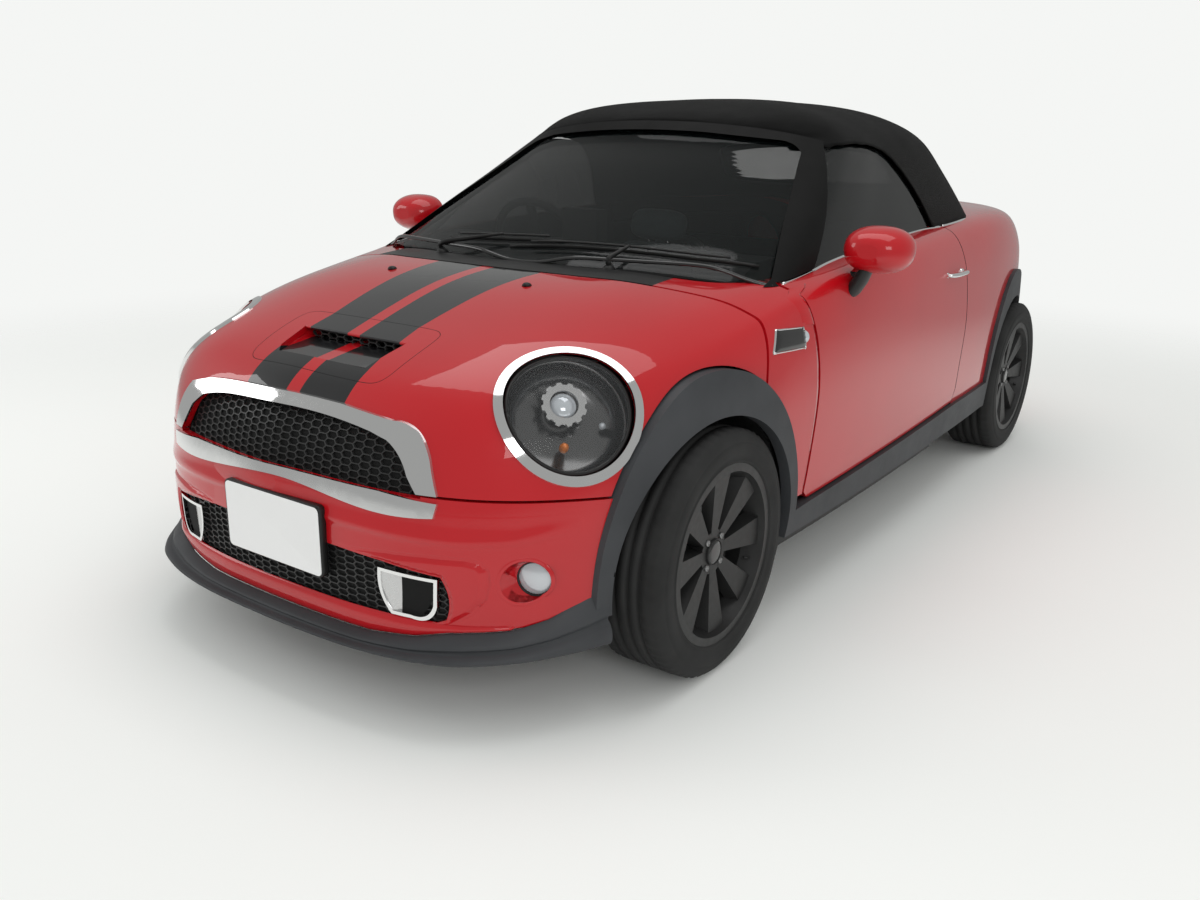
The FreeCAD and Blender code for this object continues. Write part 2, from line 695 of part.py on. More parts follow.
# Front lip and valance below the bumper
lip_area = block(-FAR, FAR, -FAR, LENGTH * BUMPER_FRONT_END_SHARE, 0, HEIGHT * LIP_TOP_SHARE)
lip_solid = flare_solid.translated(Vector(0, FLARE - LIP_REACH, 0))
lip = lip_solid.cut(body_solid(-PANEL)).common(lip_area).cut(arches[0])
keep("front_lip", lip)

# Black meshes set back behind the openings
SEAT_GAP = float(named("joint_gap"))
mesh_back = body_solid(-2 * PANEL - GAP)
mesh_shell = body_solid(-PANEL - GAP).cut(mesh_back)
seated_shell = body_solid(-PANEL - SEAT_GAP).cut(mesh_back)
below_bonnet = block(-FAR, FAR, -FAR, 0, 0, HEIGHT * BONNET_LINE_SHARES[1][1] - GAP)
upper_mesh = mesh_shell.common(through_front(GRILLE_SHARES, PANEL))
upper_foot = seated_shell.common(through_front(GRILLE_SHARES, PANEL)).common(below_bonnet)
lower_mesh = seated_shell.common(through_front(LOWER_GRILLE_SHARES, PANEL))
keep("front_grilles", Part.makeCompound([upper_mesh.fuse(upper_foot), lower_mesh]))

# Bright parts on the body: the grille's lower bar and the duct rings
bar = chrome_shell.common(through_front(GRILLE_BAR_SHARES)).cut(bonnet_gap_side)
duct = thin_shell.common(through_front(DUCT_SHARES)).cut(through_front(DUCT_SHARES, -PANEL * 0.5))
keep("front_chrome", Part.makeCompound([bar, duct, half_mirror(duct)]))
fog_body = body_solid(-GAP).common(fog_barrel(FOG)).cut(body_solid(-WALL * 0.5))
keep("fog_lamps", both_sides(fog_body))

# Doors, each as thick as the whole door
HINGE_Y = LENGTH * -0.1935
HINGE_X = HALF * 0.955
HINGE_CLEAR = HALF * 0.043
hinge_core = Part.makeCylinder(HINGE_CLEAR, HEIGHT, Vector(HINGE_X, HINGE_Y, 0))
hinge_pocket = Part.makeCylinder(HINGE_CLEAR + GAP, HEIGHT, Vector(HINGE_X, HINGE_Y, 0))
behind_hinge = block(0, FAR, HINGE_Y, FAR, 0, 2 * HEIGHT)
door = thick_shell.common(door_area).cut(cabin_opening).cut(flare_outline(AXLE_FRONT, GAP))
door = door.common(behind_hinge.fuse(hinge_core))
keep("door_left", door)
keep("door_right", half_mirror(door))

# Scuttle panels between the bonnet and the doors
scuttle_area = block(0, FAR, LENGTH * -0.27, LENGTH * SCUTTLE_END_SHARE, 0, HEIGHT)
hinge_slot = block(HALF * 0.85, FAR, HINGE_Y, LENGTH * -0.175, 0, HEIGHT * 0.62)
scuttle = body_outer.cut(body_solid(-PANEL - 1.5 * GAP)).common(scuttle_area)
scuttle = scuttle.cut(bonnet_gap_side.common(bonnet_gap_plan)).cut(door_gap_area).cut(hinge_pocket.fuse(hinge_slot))
scuttle = scuttle.cut(flare_outline(AXLE_FRONT, 0)).cut(cabin_opening)
scuttle = scuttle.common(block(HALF * 0.6, FAR, -FAR, 0, HEIGHT * 0.24, HEIGHT))
keep("scuttle_panels", both_sides(scuttle))

# Rear body: both quarters, the deck and the tail in one shell with the boot opening
SILL_TOP_SHARES = [(-0.215, 0.226), (-0.184, 0.2305), (0.138, 0.2515), (0.26, 0.2515)]
quarter_solid = body_solid(-WALL * 0.5)
quarter_shell = body_outer.cut(quarter_solid)
rear_area = block(-FAR, FAR, LENGTH * 0.12, FAR, HEIGHT * SKIN_BOTTOM_SHARE, HEIGHT)
door_gaps = both_sides(door_gap_area)
rear_bumper_area = block(-FAR, FAR, LENGTH * BUMPER_REAR_START_SHARE, FAR, 0, HEIGHT * REAR_BUMPER_TOP_SHARE)
rear_arch = flare_outline(AXLE_REAR, 0)
rear_body = quarter_shell.common(rear_area).cut(door_gaps).cut(rear_arch).cut(cabin_opening)
boot_area = front_prism(BOOT_SHARES, LENGTH * BOOT_START_SHARE, FAR)
boot_gap_area = front_prism(grown(BOOT_SHARES, GAP), LENGTH * BOOT_START_SHARE - GAP, FAR)
rear_body = rear_body.cut(boot_gap_area).cut(rear_bumper_area)
lamp_pocket = through_rear(TAILLAMP_SHARES)
rear_body = rear_body.cut(both_sides(lamp_pocket))
sill_cut = side_prism([[(0.1, 0.0)], [(0.1, 0.2515), (0.26, 0.2515)], [(0.26, 0.0)]], -FAR, FAR)
rear_body = rear_body.cut(sill_cut)
keep("rear_body", rear_body)

tail_lamp = body_outer.cut(body_solid(-float(named("taillamp_depth")))).common(lamp_pocket)
tail_lamp = tail_lamp.cut(boot_gap_area)
keep("tail_lamps", both_sides(tail_lamp))

# The lid turns about its lower edge, so its inner top edge is rounded to its swing
BOOT_HINGE_Y = REAR - LAMP_LIP
boot_swing = across(HEIGHT * BOOT_SWING_SHARE, BOOT_HINGE_Y, HEIGHT * BOOT_SHARES[0][0][1], -HALF, HALF)
boot_lid = quarter_shell.common(boot_area).common(boot_swing)
keep("boot_lid", boot_lid)

TAILPIPE = float(named("tailpipe_radius"))
TAILPIPE_X = TAILPIPE * 1.4
TAILPIPE_UP = HEIGHT * 0.163
tailpipe_hole = rod(Vector(TAILPIPE_X, AXLE_REAR, TAILPIPE_UP), Vector(TAILPIPE_X, FAR, TAILPIPE_UP), TAILPIPE + GAP)
rear_bumper = thin_shell.common(rear_bumper_area).cut(rear_arch).cut(both_sides(tailpipe_hole))
keep("rear_bumper", rear_bumper)

# Wheel flares and sill trims, in one dark band along each side
flare_shell = flare_solid.cut(body_solid(-PANEL))
above_lip = block(-FAR, FAR, -FAR, FAR, HEIGHT * LIP_TOP_SHARE, HEIGHT)
front_flares = flare_shell.common(flare_outline(AXLE_FRONT, 0)).cut(arches[0]).common(above_lip)
rear_flares = flare_shell.common(flare_outline(AXLE_REAR, 0)).cut(arches[1]).common(above_lip)
flares = [front_flares, rear_flares]
keep("wheel_flares", Part.makeCompound([solid for group in flares for solid in group.Solids]))

sill_area = side_prism([[point] for point in SILL_TOP_SHARES + [(0.26, 0.18), (-0.215, 0.178)]], -FAR, FAR)
sills = flare_shell.common(sill_area).cut(flare_outline(AXLE_FRONT, 0)).cut(flare_outline(AXLE_REAR, 0))
keep("sill_trims", Part.makeCompound(sills.Solids))

# Windscreen, its frame and the cowl
room_shell = room_outer.cut(room_solid(-float(named("hood_thickness"))))
GLASS = float(named("glass_thickness"))
glass_shell = room_solid(-GLASS).cut(room_solid(-2 * GLASS))
screen_area = side_prism(SCREEN_AREA_SHARES, -FAR, FAR)
screen_prism = front_prism(SCREEN_SHARES, -FAR, 0)
above_doors = body_solid(GAP).common(door_gaps)
frame = room_shell.common(screen_area).cut(screen_prism).cut(above_doors)
keep("windscreen_frame", frame.cut(body_outer))
keep("windscreen", glass_shell.common(screen_area).common(screen_prism).cut(body_outer))
cowl = thin_shell.common(block(-HALF * 0.6, HALF * 0.6, LENGTH * -0.3, LENGTH * -0.2, HEIGHT * 0.5, HEIGHT))
cowl = cowl.cut(bonnet_gap_plan.common(bonnet_gap_side)).cut(cabin_opening)
keep("cowl", cowl)

# Soft top over the cabin, with its rear window and openings for the side glass
window_area = side_prism(WINDOW_SHARES, -FAR, FAR)
rear_window_prism = front_prism(REAR_WINDOW_SHARES, LENGTH * 0.1, FAR)
hood = room_shell.cut(screen_area).cut(window_area).cut(rear_window_prism)
keep("soft_top", hood.cut(body_outer))
keep("rear_window", glass_shell.common(rear_window_prism))

pane_area = side_prism(
    [WINDOW_SHARES[0], shifted(WINDOW_SHARES[1], 0, -GAP), shifted(WINDOW_SHARES[2], -2 * GAP, -GAP)],
    0,
    FAR,
)
pane = glass_shell.common(pane_area)
screen_back = screen_area.copy()
screen_back.translate(Vector(0, 1.5 * GAP, 0))
pane = pane.cut(screen_back).cut(body_outer)
keep("door_glass_left", pane)
keep("door_glass_right", half_mirror(pane))

# Number plate and its holder on the front bumper, both bare
PLATE_WIDE = float(named("plate_width"))
PLATE_TALL = float(named("plate_height"))
PLATE_THICK = float(named("plate_thickness"))
PLATE_UP = HEIGHT * 0.281
PLATE_Y = FRONT - 2.5 * PLATE_THICK
holder = block(-PLATE_WIDE * 0.52, PLATE_WIDE * 0.52, PLATE_Y + PLATE_THICK, FRONT + PANEL, PLATE_UP - PLATE_TALL * 0.52, PLATE_UP + PLATE_TALL * 0.52)
plate = block(-PLATE_WIDE / 2, PLATE_WIDE / 2, PLATE_Y, PLATE_Y + PLATE_THICK, PLATE_UP - PLATE_TALL / 2, PLATE_UP + PLATE_TALL / 2)
keep("number_plate", plate.fuse(holder.cut(body_outer)))

# Heights that the floor and the seats share
FLOOR = float(named("floor_thickness"))
FLOOR_UP = HEIGHT * 0.12

# Sketches tied to the sheet


def new_body(label):
    """A body whose label names its file."""
    body = doc.addObject("PartDesign::Body", label)
    body.Label = label
    return body


def sketch_on(body, role, offset=None):
    """A sketch on one of the body's own origin planes, or on one parallel to it."""
    plane = [feature for feature in body.Origin.OriginFeatures if feature.Role == role][0]
    sketch = body.newObject("Sketcher::SketchObject", body.Name + "_sketch")
    sketch.AttachmentSupport = (plane, "")
    sketch.MapMode = "FlatFace"
    if offset is not None:
        sketch.setExpression("AttachmentOffset.Base.z", offset.formula)
    return sketch


def tie(sketch, kind, index, length):
    """Fix one coordinate of a vertex to a length."""
    length = as_size(length)
    if length.value == 0:
        sketch.addConstraint(Sketcher.Constraint("PointOnObject", index, 1, -2 if kind == "DistanceX" else -1))
        return
    number = sketch.addConstraint(Sketcher.Constraint(kind, -1, 1, index, 1, length.value))
    sketch.setExpression("Constraints[%d]" % number, length.formula)


def draw(sketch, points):
    """A closed straight-sided outline whose every corner follows the sheet."""
    first = sketch.GeometryCount
    spots = [Vector(float(x), float(y), 0) for x, y in points]
    for i, spot in enumerate(spots):
        sketch.addGeometry(Part.LineSegment(spot, spots[(i + 1) % len(spots)]))
    for i in range(len(spots)):
        nxt = first + (i + 1) % len(spots)
        sketch.addConstraint(Sketcher.Constraint("Coincident", first + i, 2, nxt, 1))
    for i, (x, y) in enumerate(points):
        tie(sketch, "DistanceX", first + i, x)
        tie(sketch, "DistanceY", first + i, y)


def draw_circle(sketch, x, y, radius):
    """A circle whose centre and radius follow the sheet."""
    index = sketch.addGeometry(Part.Circle(Vector(float(x), float(y), 0), Vector(0, 0, 1), float(radius)))
    for kind, length in (("DistanceX", as_size(x)), ("DistanceY", as_size(y))):
        if length.value == 0:
            sketch.addConstraint(Sketcher.Constraint("PointOnObject", index, 3, -2 if kind == "DistanceX" else -1))
        else:
            number = sketch.addConstraint(Sketcher.Constraint(kind, -1, 1, index, 3, length.value))
            sketch.setExpression("Constraints[%d]" % number, length.formula)
    number = sketch.addConstraint(Sketcher.Constraint("Radius", index, float(radius)))
    sketch.setExpression("Constraints[%d]" % number, radius.formula)


def revolved(body, points, kind="PartDesign::Revolution"):
    """A ring or boss turned about the body's own upright axis."""
    sketch = sketch_on(body, "XZ_Plane")
    draw(sketch, points)
    turn = body.newObject(kind, body.Name + "_turn")
    turn.Profile = sketch
    turn.ReferenceAxis = (sketch, ["V_Axis"])
    turn.Angle = 360
    return turn


def padded(body, sketch, length, midplane=False, backwards=False):
    """The sketch carried straight out by a length from the sheet."""
    pad = body.newObject("PartDesign::Pad", body.Name + "_pad")
    pad.Profile = sketch
    pad.setExpression("Length", length.formula)
    pad.Midplane = midplane
    pad.Reversed = backwards
    return pad


def pocketed(body, sketch, length, midplane=False, backwards=False):
    """The sketch cut straight in by a length from the sheet."""
    pocket = body.newObject("PartDesign::Pocket", body.Name + "_pocket")
    pocket.Profile = sketch
    pocket.setExpression("Length", length.formula)
    pocket.Midplane = midplane
    pocket.Reversed = backwards
    return pocket


def around(body, features, count):
    """Features repeated evenly about the body's own upright axis."""
    pattern = body.newObject("PartDesign::PolarPattern", body.Name + "_around")
    pattern.Originals = features
    axis = [feature for feature in body.Origin.OriginFeatures if feature.Role == "Z_Axis"][0]
    pattern.Axis = (axis, [""])
    pattern.Angle = 360
    pattern.Occurrences = count
    body.Tip = pattern
    return pattern


def finish(body, place):
    """The finished body at its place on the car."""
    doc.recompute()
    body.Placement = place
    SUBPARTS.append(body)
    return body


# Wheels. In a wheel's own frame +Z is its axle, pointing away from the car.
SPOKE_COUNT = 8
WHEEL_SPOTS = {
    "front_left": Vector(FRONT_WHEEL, AXLE_FRONT, HUB_UP),
    "front_right": Vector(-FRONT_WHEEL, AXLE_FRONT, HUB_UP),
    "rear_left": Vector(REAR_WHEEL, AXLE_REAR, HUB_UP),
    "rear_right": Vector(-REAR_WHEEL, AXLE_REAR, HUB_UP),
}


def outward(name):
    """The placement of a wheel by its corner of the car."""
    side = Vector(-1, 0, 0) if "right" in name else Vector(1, 0, 0)
    return Placement(WHEEL_SPOTS[name], Rotation(Vector(0, 0, 1), side))


def make_tyre(name):
    """Low tyre with straight sidewalls and a flat tread."""
    body = new_body("tyre_" + name)
    half = named("tyre_width") * 0.5
    seat = named("rim_width") * 0.5 - named("rim_lip")
    bead = named("tyre_bead") + named("running_fit")
    outer = named("tyre_radius")
    edge = named("tyre_shoulder")
    wall = named("sidewall_radius")
    flange = named("rim_radius") + named("running_fit")
    ring = [
        (bead, -seat),
        (bead, seat),
        (flange, seat),
        (flange, half * 0.9),
        (wall, half),
        (edge, half * 0.95),
        (outer, half * 0.8),
        (outer, half * -0.8),
        (edge, half * -0.95),
        (wall, -half),
        (flange, half * -0.9),
        (flange, -seat),
    ]
    revolved(body, ring)
    return finish(body, outward(name))


def make_wheel(name):
    """Eight-spoke wheel with its brake disc behind the spokes."""
    body = new_body("wheel_" + name)
    half = named("rim_width") * 0.5
    lip = named("rim_lip")
    wall = named("rim_wall")
    bead = named("tyre_bead")
    flange = named("rim_radius")
    well = named("rim_well")
    barrel = [
        (flange, half),
        (bead - wall, half),
        (well - wall, half * 0.45),
        (well - wall, half * -0.5),
        (bead - wall, -half),
        (flange, -half),
        (flange, lip - half),
        (bead, lip - half),
        (well, half * -0.45),
        (well, half * 0.4),
        (bead, half - lip),
        (flange, half - lip),
    ]
    revolved(body, barrel)
    hub = named("hub_radius")
    face = named("hub_face")
    disc = named("disc_radius")
    low = named("disc_offset")
    high = low + named("disc_thickness")
    bore = named("spindle_radius") + named("running_fit")
    centre = [
        (bore, face - named("hub_depth")),
        (bore, low),
        (disc, low),
        (disc, high),
        (hub, high),
        (hub, face),
        (0, face),
        (0, face - named("hub_depth")),
    ]
    revolved(body, centre)
    sections = []
    root = named("spoke_root")
    end = named("spoke_end")
    back = named("spoke_back")
    front = named("spoke_face")
    inner = sketch_on(body, "XZ_Plane", named("hub_radius") * 0.8)
    draw(inner, [(-root, high), (root, high), (root * 0.7, face), (root * -0.7, face)])
    outer = sketch_on(body, "XZ_Plane", bead - wall)
    draw(outer, [(-end, back), (end, back), (end * 0.75, front), (end * -0.75, front)])
    spoke = body.newObject("PartDesign::AdditiveLoft", body.Name + "_spoke")
    spoke.Profile = inner
    spoke.Sections = [outer]
    spoke.Ruled = True
    doc.recompute()
    around(body, [spoke], SPOKE_COUNT)
    return finish(body, outward(name))


for corner in WHEEL_SPOTS:
    make_tyre(corner)
    make_wheel(corner)


def make_knuckle(name):
    """Front knuckle: the steered post with its carrier and the spindle that the wheel turns on."""
    body = new_body("knuckle_" + name)
    offset = named("kingpin_offset")
    post = sketch_on(body, "YZ_Plane")
    draw_circle(post, 0, -offset, named("kingpin_radius"))
    padded(body, post, named("kingpin_half") * 2, midplane=True)
    carrier = sketch_on(body, "XY_Plane", -offset)
    draw_circle(carrier, 0, 0, named("hub_radius"))
    padded(body, carrier, offset * 0.8)
    spindle = sketch_on(body, "XY_Plane", -offset)
    draw_circle(spindle, 0, 0, named("spindle_radius"))
    padded(body, spindle, offset + named("hub_face") - named("hub_depth") - named("joint_gap"))
    return finish(body, outward(name))


for corner in ("front_left", "front_right"):
    make_knuckle(corner)


# Front suspension that stays with the body: arms, struts and the eyes that hold each knuckle
ARM_PIVOT_SHARES = [-0.335, -0.27]
ENGINE_LOW_SHARE = 0.83
KINGPIN_X = FRONT_WHEEL - float(named("kingpin_offset"))
KINGPIN_HALF = float(named("kingpin_half"))
EYE = float(named("eye_height"))
EYE_GAP = float(named("joint_gap"))
ARM = float(named("arm_radius"))
low_eye = HUB_UP - KINGPIN_HALF - EYE_GAP - EYE
high_eye = HUB_UP + KINGPIN_HALF + EYE_GAP
suspension = []
for foot in (low_eye, high_eye):
    suspension.append(Part.makeCylinder(float(named("eye_radius")), EYE, Vector(KINGPIN_X, AXLE_FRONT, foot)))
SUBFRAME_TALL = HEIGHT * 0.036
arm_holes = []
engine_low = HUB_UP * ENGINE_LOW_SHARE
pivot_up = engine_low - EYE_GAP - SUBFRAME_TALL / 2
for along in ARM_PIVOT_SHARES:
    pivot = Vector(HALF * 0.46, LENGTH * along, pivot_up)
    suspension.append(rod(pivot, Vector(KINGPIN_X, AXLE_FRONT, low_eye + EYE / 2), ARM / 2))
    arm_holes.append(rod(pivot, Vector(KINGPIN_X, AXLE_FRONT, low_eye + EYE / 2), ARM / 2 + GAP))
strut_foot = Vector(HALF * 0.68, AXLE_FRONT, high_eye + EYE / 2)
suspension.append(rod(strut_foot, Vector(KINGPIN_X, AXLE_FRONT, high_eye + EYE / 2), EYE / 2))
STRUT = float(named("strut_radius"))
tower = math.sqrt((ARCH + 2.3 * GAP) ** 2 - STRUT ** 2)
strut_top = Vector(HALF * 0.68, AXLE_FRONT, HUB_UP + tower - EYE_GAP)
suspension.append(rod(strut_foot - Vector(0, 0, EYE), strut_top, STRUT))
left_side = suspension[0].fuse(suspension[1:])
subframe_top = engine_low - EYE_GAP
subframe = block(
    -HALF * 0.5, HALF * 0.5, LENGTH * -0.345, LENGTH * -0.26, subframe_top - SUBFRAME_TALL, subframe_top
)
keep("front_suspension", subframe.fuse([left_side, half_mirror(left_side)]))

# Rear axle: beam, trailing arms and a spindle for each wheel
BEAM = float(named("beam_radius"))
beam_y = AXLE_REAR - LENGTH * 0.035
spindle_in = HALF * 0.6
beam_end = HALF * 0.64
spindle_out = REAR_WHEEL + float(named("hub_face")) - float(named("hub_depth")) - EYE_GAP
spindle = rod(Vector(spindle_in, AXLE_REAR, HUB_UP), Vector(spindle_out, AXLE_REAR, HUB_UP), float(named("spindle_radius")))
carrier_end = REAR_WHEEL - float(named("disc_offset")) - 2 * GAP
carrier = rod(Vector(spindle_in, AXLE_REAR, HUB_UP), Vector(carrier_end, AXLE_REAR, HUB_UP), float(named("hub_radius")))
trailing_foot = Vector(HALF * 0.62, LENGTH * 0.2575, HEIGHT * 0.175)
trailing_hub = Vector(HALF * 0.66, AXLE_REAR, HUB_UP)
trailing = rod(trailing_foot, trailing_hub, BEAM)
axle_side = spindle.fuse([carrier, trailing])
beam = rod(Vector(-beam_end, beam_y, HUB_UP - BEAM), Vector(beam_end, beam_y, HUB_UP - BEAM), BEAM)
keep("rear_axle", beam.fuse([axle_side, half_mirror(axle_side)]))

# Engine as one plain block between the front wheels
engine = doc.addObject("Part::Box", "engine_block")
engine.Label = "engine_block"
engine.setExpression("Length", "sizes.engine_width")
engine.setExpression("Width", "sizes.engine_length")
engine.setExpression("Height", "sizes.engine_height")
engine.setExpression("Placement.Base.x", "0 - sizes.engine_width / 2")
engine.setExpression("Placement.Base.y", "0 - sizes.front_axle_forward - sizes.engine_length * 0.65")
engine.setExpression("Placement.Base.z", "sizes.tyre_radius * %s" % ENGINE_LOW_SHARE)
SUBPARTS.append(engine)

# Exhaust: one pipe under the floor, a silencer across the tail and two central tailpipes
PIPE = float(named("exhaust_radius"))
pipe_up = FLOOR_UP - PIPE - EYE_GAP
silencer_y = LENGTH * 0.432
silencer_half = float(named("silencer_length")) / 2
silencer = across(float(named("silencer_radius")), silencer_y, TAILPIPE_UP, -silencer_half, silencer_half)
grown_silencer = across(
    float(named("silencer_radius")) + GAP, silencer_y, TAILPIPE_UP, -silencer_half - GAP, silencer_half + GAP
)
pipe = rod(Vector(0, LENGTH * -0.2, pipe_up), Vector(0, silencer_y, pipe_up), PIPE)
exhaust = silencer.fuse(pipe)
for side in (-1, 1):
    start = Vector(side * TAILPIPE_X, silencer_y, TAILPIPE_UP)
    end = Vector(side * TAILPIPE_X, REAR - PANEL, TAILPIPE_UP)
    exhaust = exhaust.fuse(rod(start, end, TAILPIPE))
    mouth = rod(end - Vector(0, TAILPIPE * 2, 0), end, TAILPIPE - PANEL / 4)
    exhaust = exhaust.cut(mouth)
keep("exhaust", exhaust)

# Dashboard with the steering column
DASH_SHARES = [
    [(-0.2034, 0.43)],
    [(-0.2034, 0.645)],
    [(-0.17, 0.678), (-0.14, 0.68), (-0.122, 0.665), (-0.118, 0.63)],
    [(-0.135, 0.52)],
    [(-0.165, 0.43)],
]
DASH_HALF = float(named("dash_half_width"))
WHEEL_TILT = 24
driver_x = -float(named("driver_offset"))
wheel_hub = Vector(driver_x, LENGTH * -0.098, HEIGHT * 0.632)
wheel_axis = Vector(0, math.cos(math.radians(WHEEL_TILT)), math.sin(math.radians(WHEEL_TILT)))
dash = side_prism(DASH_SHARES, -DASH_HALF, DASH_HALF)
column_end = wheel_hub - wheel_axis * (EYE_GAP + float(named("steering_hub_depth")) / 2)
column = rod(wheel_hub - wheel_axis * LENGTH * 0.05, column_end, float(named("column_radius")))
screen_pod = block(-HALF * 0.1, HALF * 0.06, LENGTH * -0.166, LENGTH * -0.152, HEIGHT * 0.67, HEIGHT * 0.755)
keep("dashboard", dash.fuse([column, screen_pod]))

# Steering wheel
steering = new_body("steering_wheel")
rim_sketch = sketch_on(steering, "XZ_Plane")
draw_circle(rim_sketch, named("steering_wheel_radius"), 0, named("steering_wheel_rim"))
rim_turn = steering.newObject("PartDesign::Revolution", "steering_rim")
rim_turn.Profile = rim_sketch
rim_turn.ReferenceAxis = (rim_sketch, ["V_Axis"])
rim_turn.Angle = 360
boss = sketch_on(steering, "XY_Plane")
draw_circle(boss, 0, 0, named("steering_hub_radius"))
padded(steering, boss, named("steering_hub_depth"), midplane=True)
arms = sketch_on(steering, "XY_Plane")
reach = named("steering_wheel_radius")
width = named("steering_wheel_rim")
draw(arms, [(-reach, -width), (reach, -width), (reach, width), (-reach, width)])
padded(steering, arms, width, midplane=True)
leg = sketch_on(steering, "XY_Plane")
draw(leg, [(-width, -reach), (width, -reach), (width, 0), (-width, 0)])
padded(steering, leg, width, midplane=True)
finish(steering, Placement(wheel_hub, Rotation(Vector(0, 0, 1), wheel_axis)))

# Centre console on the tunnel
CONSOLE_HALF = float(named("console_width")) / 2
console = block(-CONSOLE_HALF, CONSOLE_HALF, LENGTH * -0.12, LENGTH * 0.11, HEIGHT * 0.27, HEIGHT * 0.33)
keep("centre_console", console)


# Seats. A seat's own frame has its origin on the floor under the middle of the cushion.
def make_seat(label, width, profile, place):
    """A seat whose side profile is carried across its width and rounded."""
    body = new_body(label)
    sketch = sketch_on(body, "YZ_Plane")
    draw(sketch, [(width * a, width * b) for a, b in profile])
    padded(body, sketch, width, midplane=True)
    return finish(body, place)


SEAT_SHARES = [
    (-0.42, 0.0), (-0.42, 0.16), (-0.50, 0.20), (-0.52, 0.50), (0.26, 0.42), (0.52, 1.28), (0.50, 1.62),
    (0.66, 1.62), (0.74, 1.30), (0.52, 0.30), (0.36, 0.16), (0.36, 0.0),
]
BENCH_SHARES = [(-0.20, 0.0), (-0.21, 0.24), (0.14, 0.20), (0.20, 0.52), (0.26, 0.52), (0.24, 0.12), (0.22, 0.0)]
seat_floor = FLOOR_UP + FLOOR + SEAT_GAP
for side, sign in (("left", 1), ("right", -1)):
    spot = Vector(sign * float(named("driver_offset")), LENGTH * 0.02, seat_floor)
    make_seat("seat_" + side, named("seat_width"), SEAT_SHARES, Placement(spot, Rotation()))
bench_spot = Vector(0, LENGTH * 0.18, seat_floor)
make_seat("rear_bench", named("bench_width"), BENCH_SHARES, Placement(bench_spot, Rotation()))

# Door mirrors, each a rounded housing on a short stalk
MIRROR_SPOT = Vector(HALF * 1.055, LENGTH * -0.118, HEIGHT * 0.706)


MIRROR_RING_SHARES = [(-0.8, 0.3), (-0.7, 0.62), (-0.4, 0.9), (0, 1), (0.25, 0.96)]
MIRROR_POINTS = 12
mirror_half = [float(named(alias)) / 2 for alias in ("mirror_width", "mirror_height")]
mirror_depth = float(named("mirror_depth"))
rings = []
for back, size in MIRROR_RING_SHARES:
    ring = []
    for step in range(MIRROR_POINTS):
        turn = 2 * math.pi * step / MIRROR_POINTS
        aside = math.copysign(abs(math.cos(turn)) ** 0.85, math.cos(turn)) * mirror_half[0] * size
        up = math.copysign(abs(math.sin(turn)) ** 0.85, math.sin(turn)) * mirror_half[1] * size
        ring.append(MIRROR_SPOT + Vector(aside, mirror_depth * back, up))
    rings.append(ring)
stalk = rod(Vector(HALF * 0.93, MIRROR_SPOT.y, HEIGHT * 0.62), MIRROR_SPOT, float(named("mirror_stalk")))
mirror = skinned(rings).fuse(stalk).cut(body_outer)
keep("door_mirror_left", mirror)
keep("door_mirror_right", half_mirror(mirror))


# Floor, sills, tunnel, firewall, wheelhouses and rails as one welded tub
inside = body_solid(-PANEL - 1.5 * GAP)
floor = block(-HALF * 0.8, HALF * 0.8, LENGTH * -0.19, LENGTH * 0.265, FLOOR_UP, FLOOR_UP + FLOOR)
sill_low = block(HALF * 0.74, HALF * 0.99, LENGTH * -0.206, LENGTH * 0.255, HEIGHT * 0.142, HEIGHT * 0.224)
tunnel = block(-HALF * 0.14, HALF * 0.14, LENGTH * -0.205, LENGTH * 0.114, FLOOR_UP, HEIGHT * 0.27)
firewall = block(-HALF, HALF, LENGTH * -0.2115, LENGTH * -0.2035, FLOOR_UP, HEIGHT * 0.62)
bulkhead = block(-HALF * 0.8, HALF * 0.8, LENGTH * 0.257, LENGTH * 0.263, FLOOR_UP, HEIGHT * 0.6)
boot_floor = block(-HALF * 0.6, HALF * 0.6, LENGTH * 0.257, LENGTH * 0.47, HEIGHT * 0.235, HEIGHT * 0.255)
rails = both_sides(block(HALF * 0.44, HALF * 0.53, LENGTH * -0.44, LENGTH * -0.2035, HEIGHT * 0.28, HEIGHT * 0.345))
cross_rail = block(-HALF * 0.62, HALF * 0.62, LENGTH * -0.444, LENGTH * -0.438, HEIGHT * 0.2, HEIGHT * 0.36)
rear_rails = both_sides(block(HALF * 0.5, HALF * 0.6, LENGTH * 0.257, LENGTH * 0.485, HEIGHT * 0.2, HEIGHT * 0.255))


def wheelhouse(axle, low_x, radius):
    """The arched liner over a left wheel, with its closed inner wall."""
    thick = float(named("liner_thickness"))
    outer = across(radius + thick, axle, HUB_UP, low_x - thick, HALF)
    hollow = across(radius, axle, HUB_UP, low_x, FAR)
    upper = block(0, FAR, -FAR, FAR, HEIGHT * 0.15, HEIGHT)
    return outer.cut(hollow).common(upper)


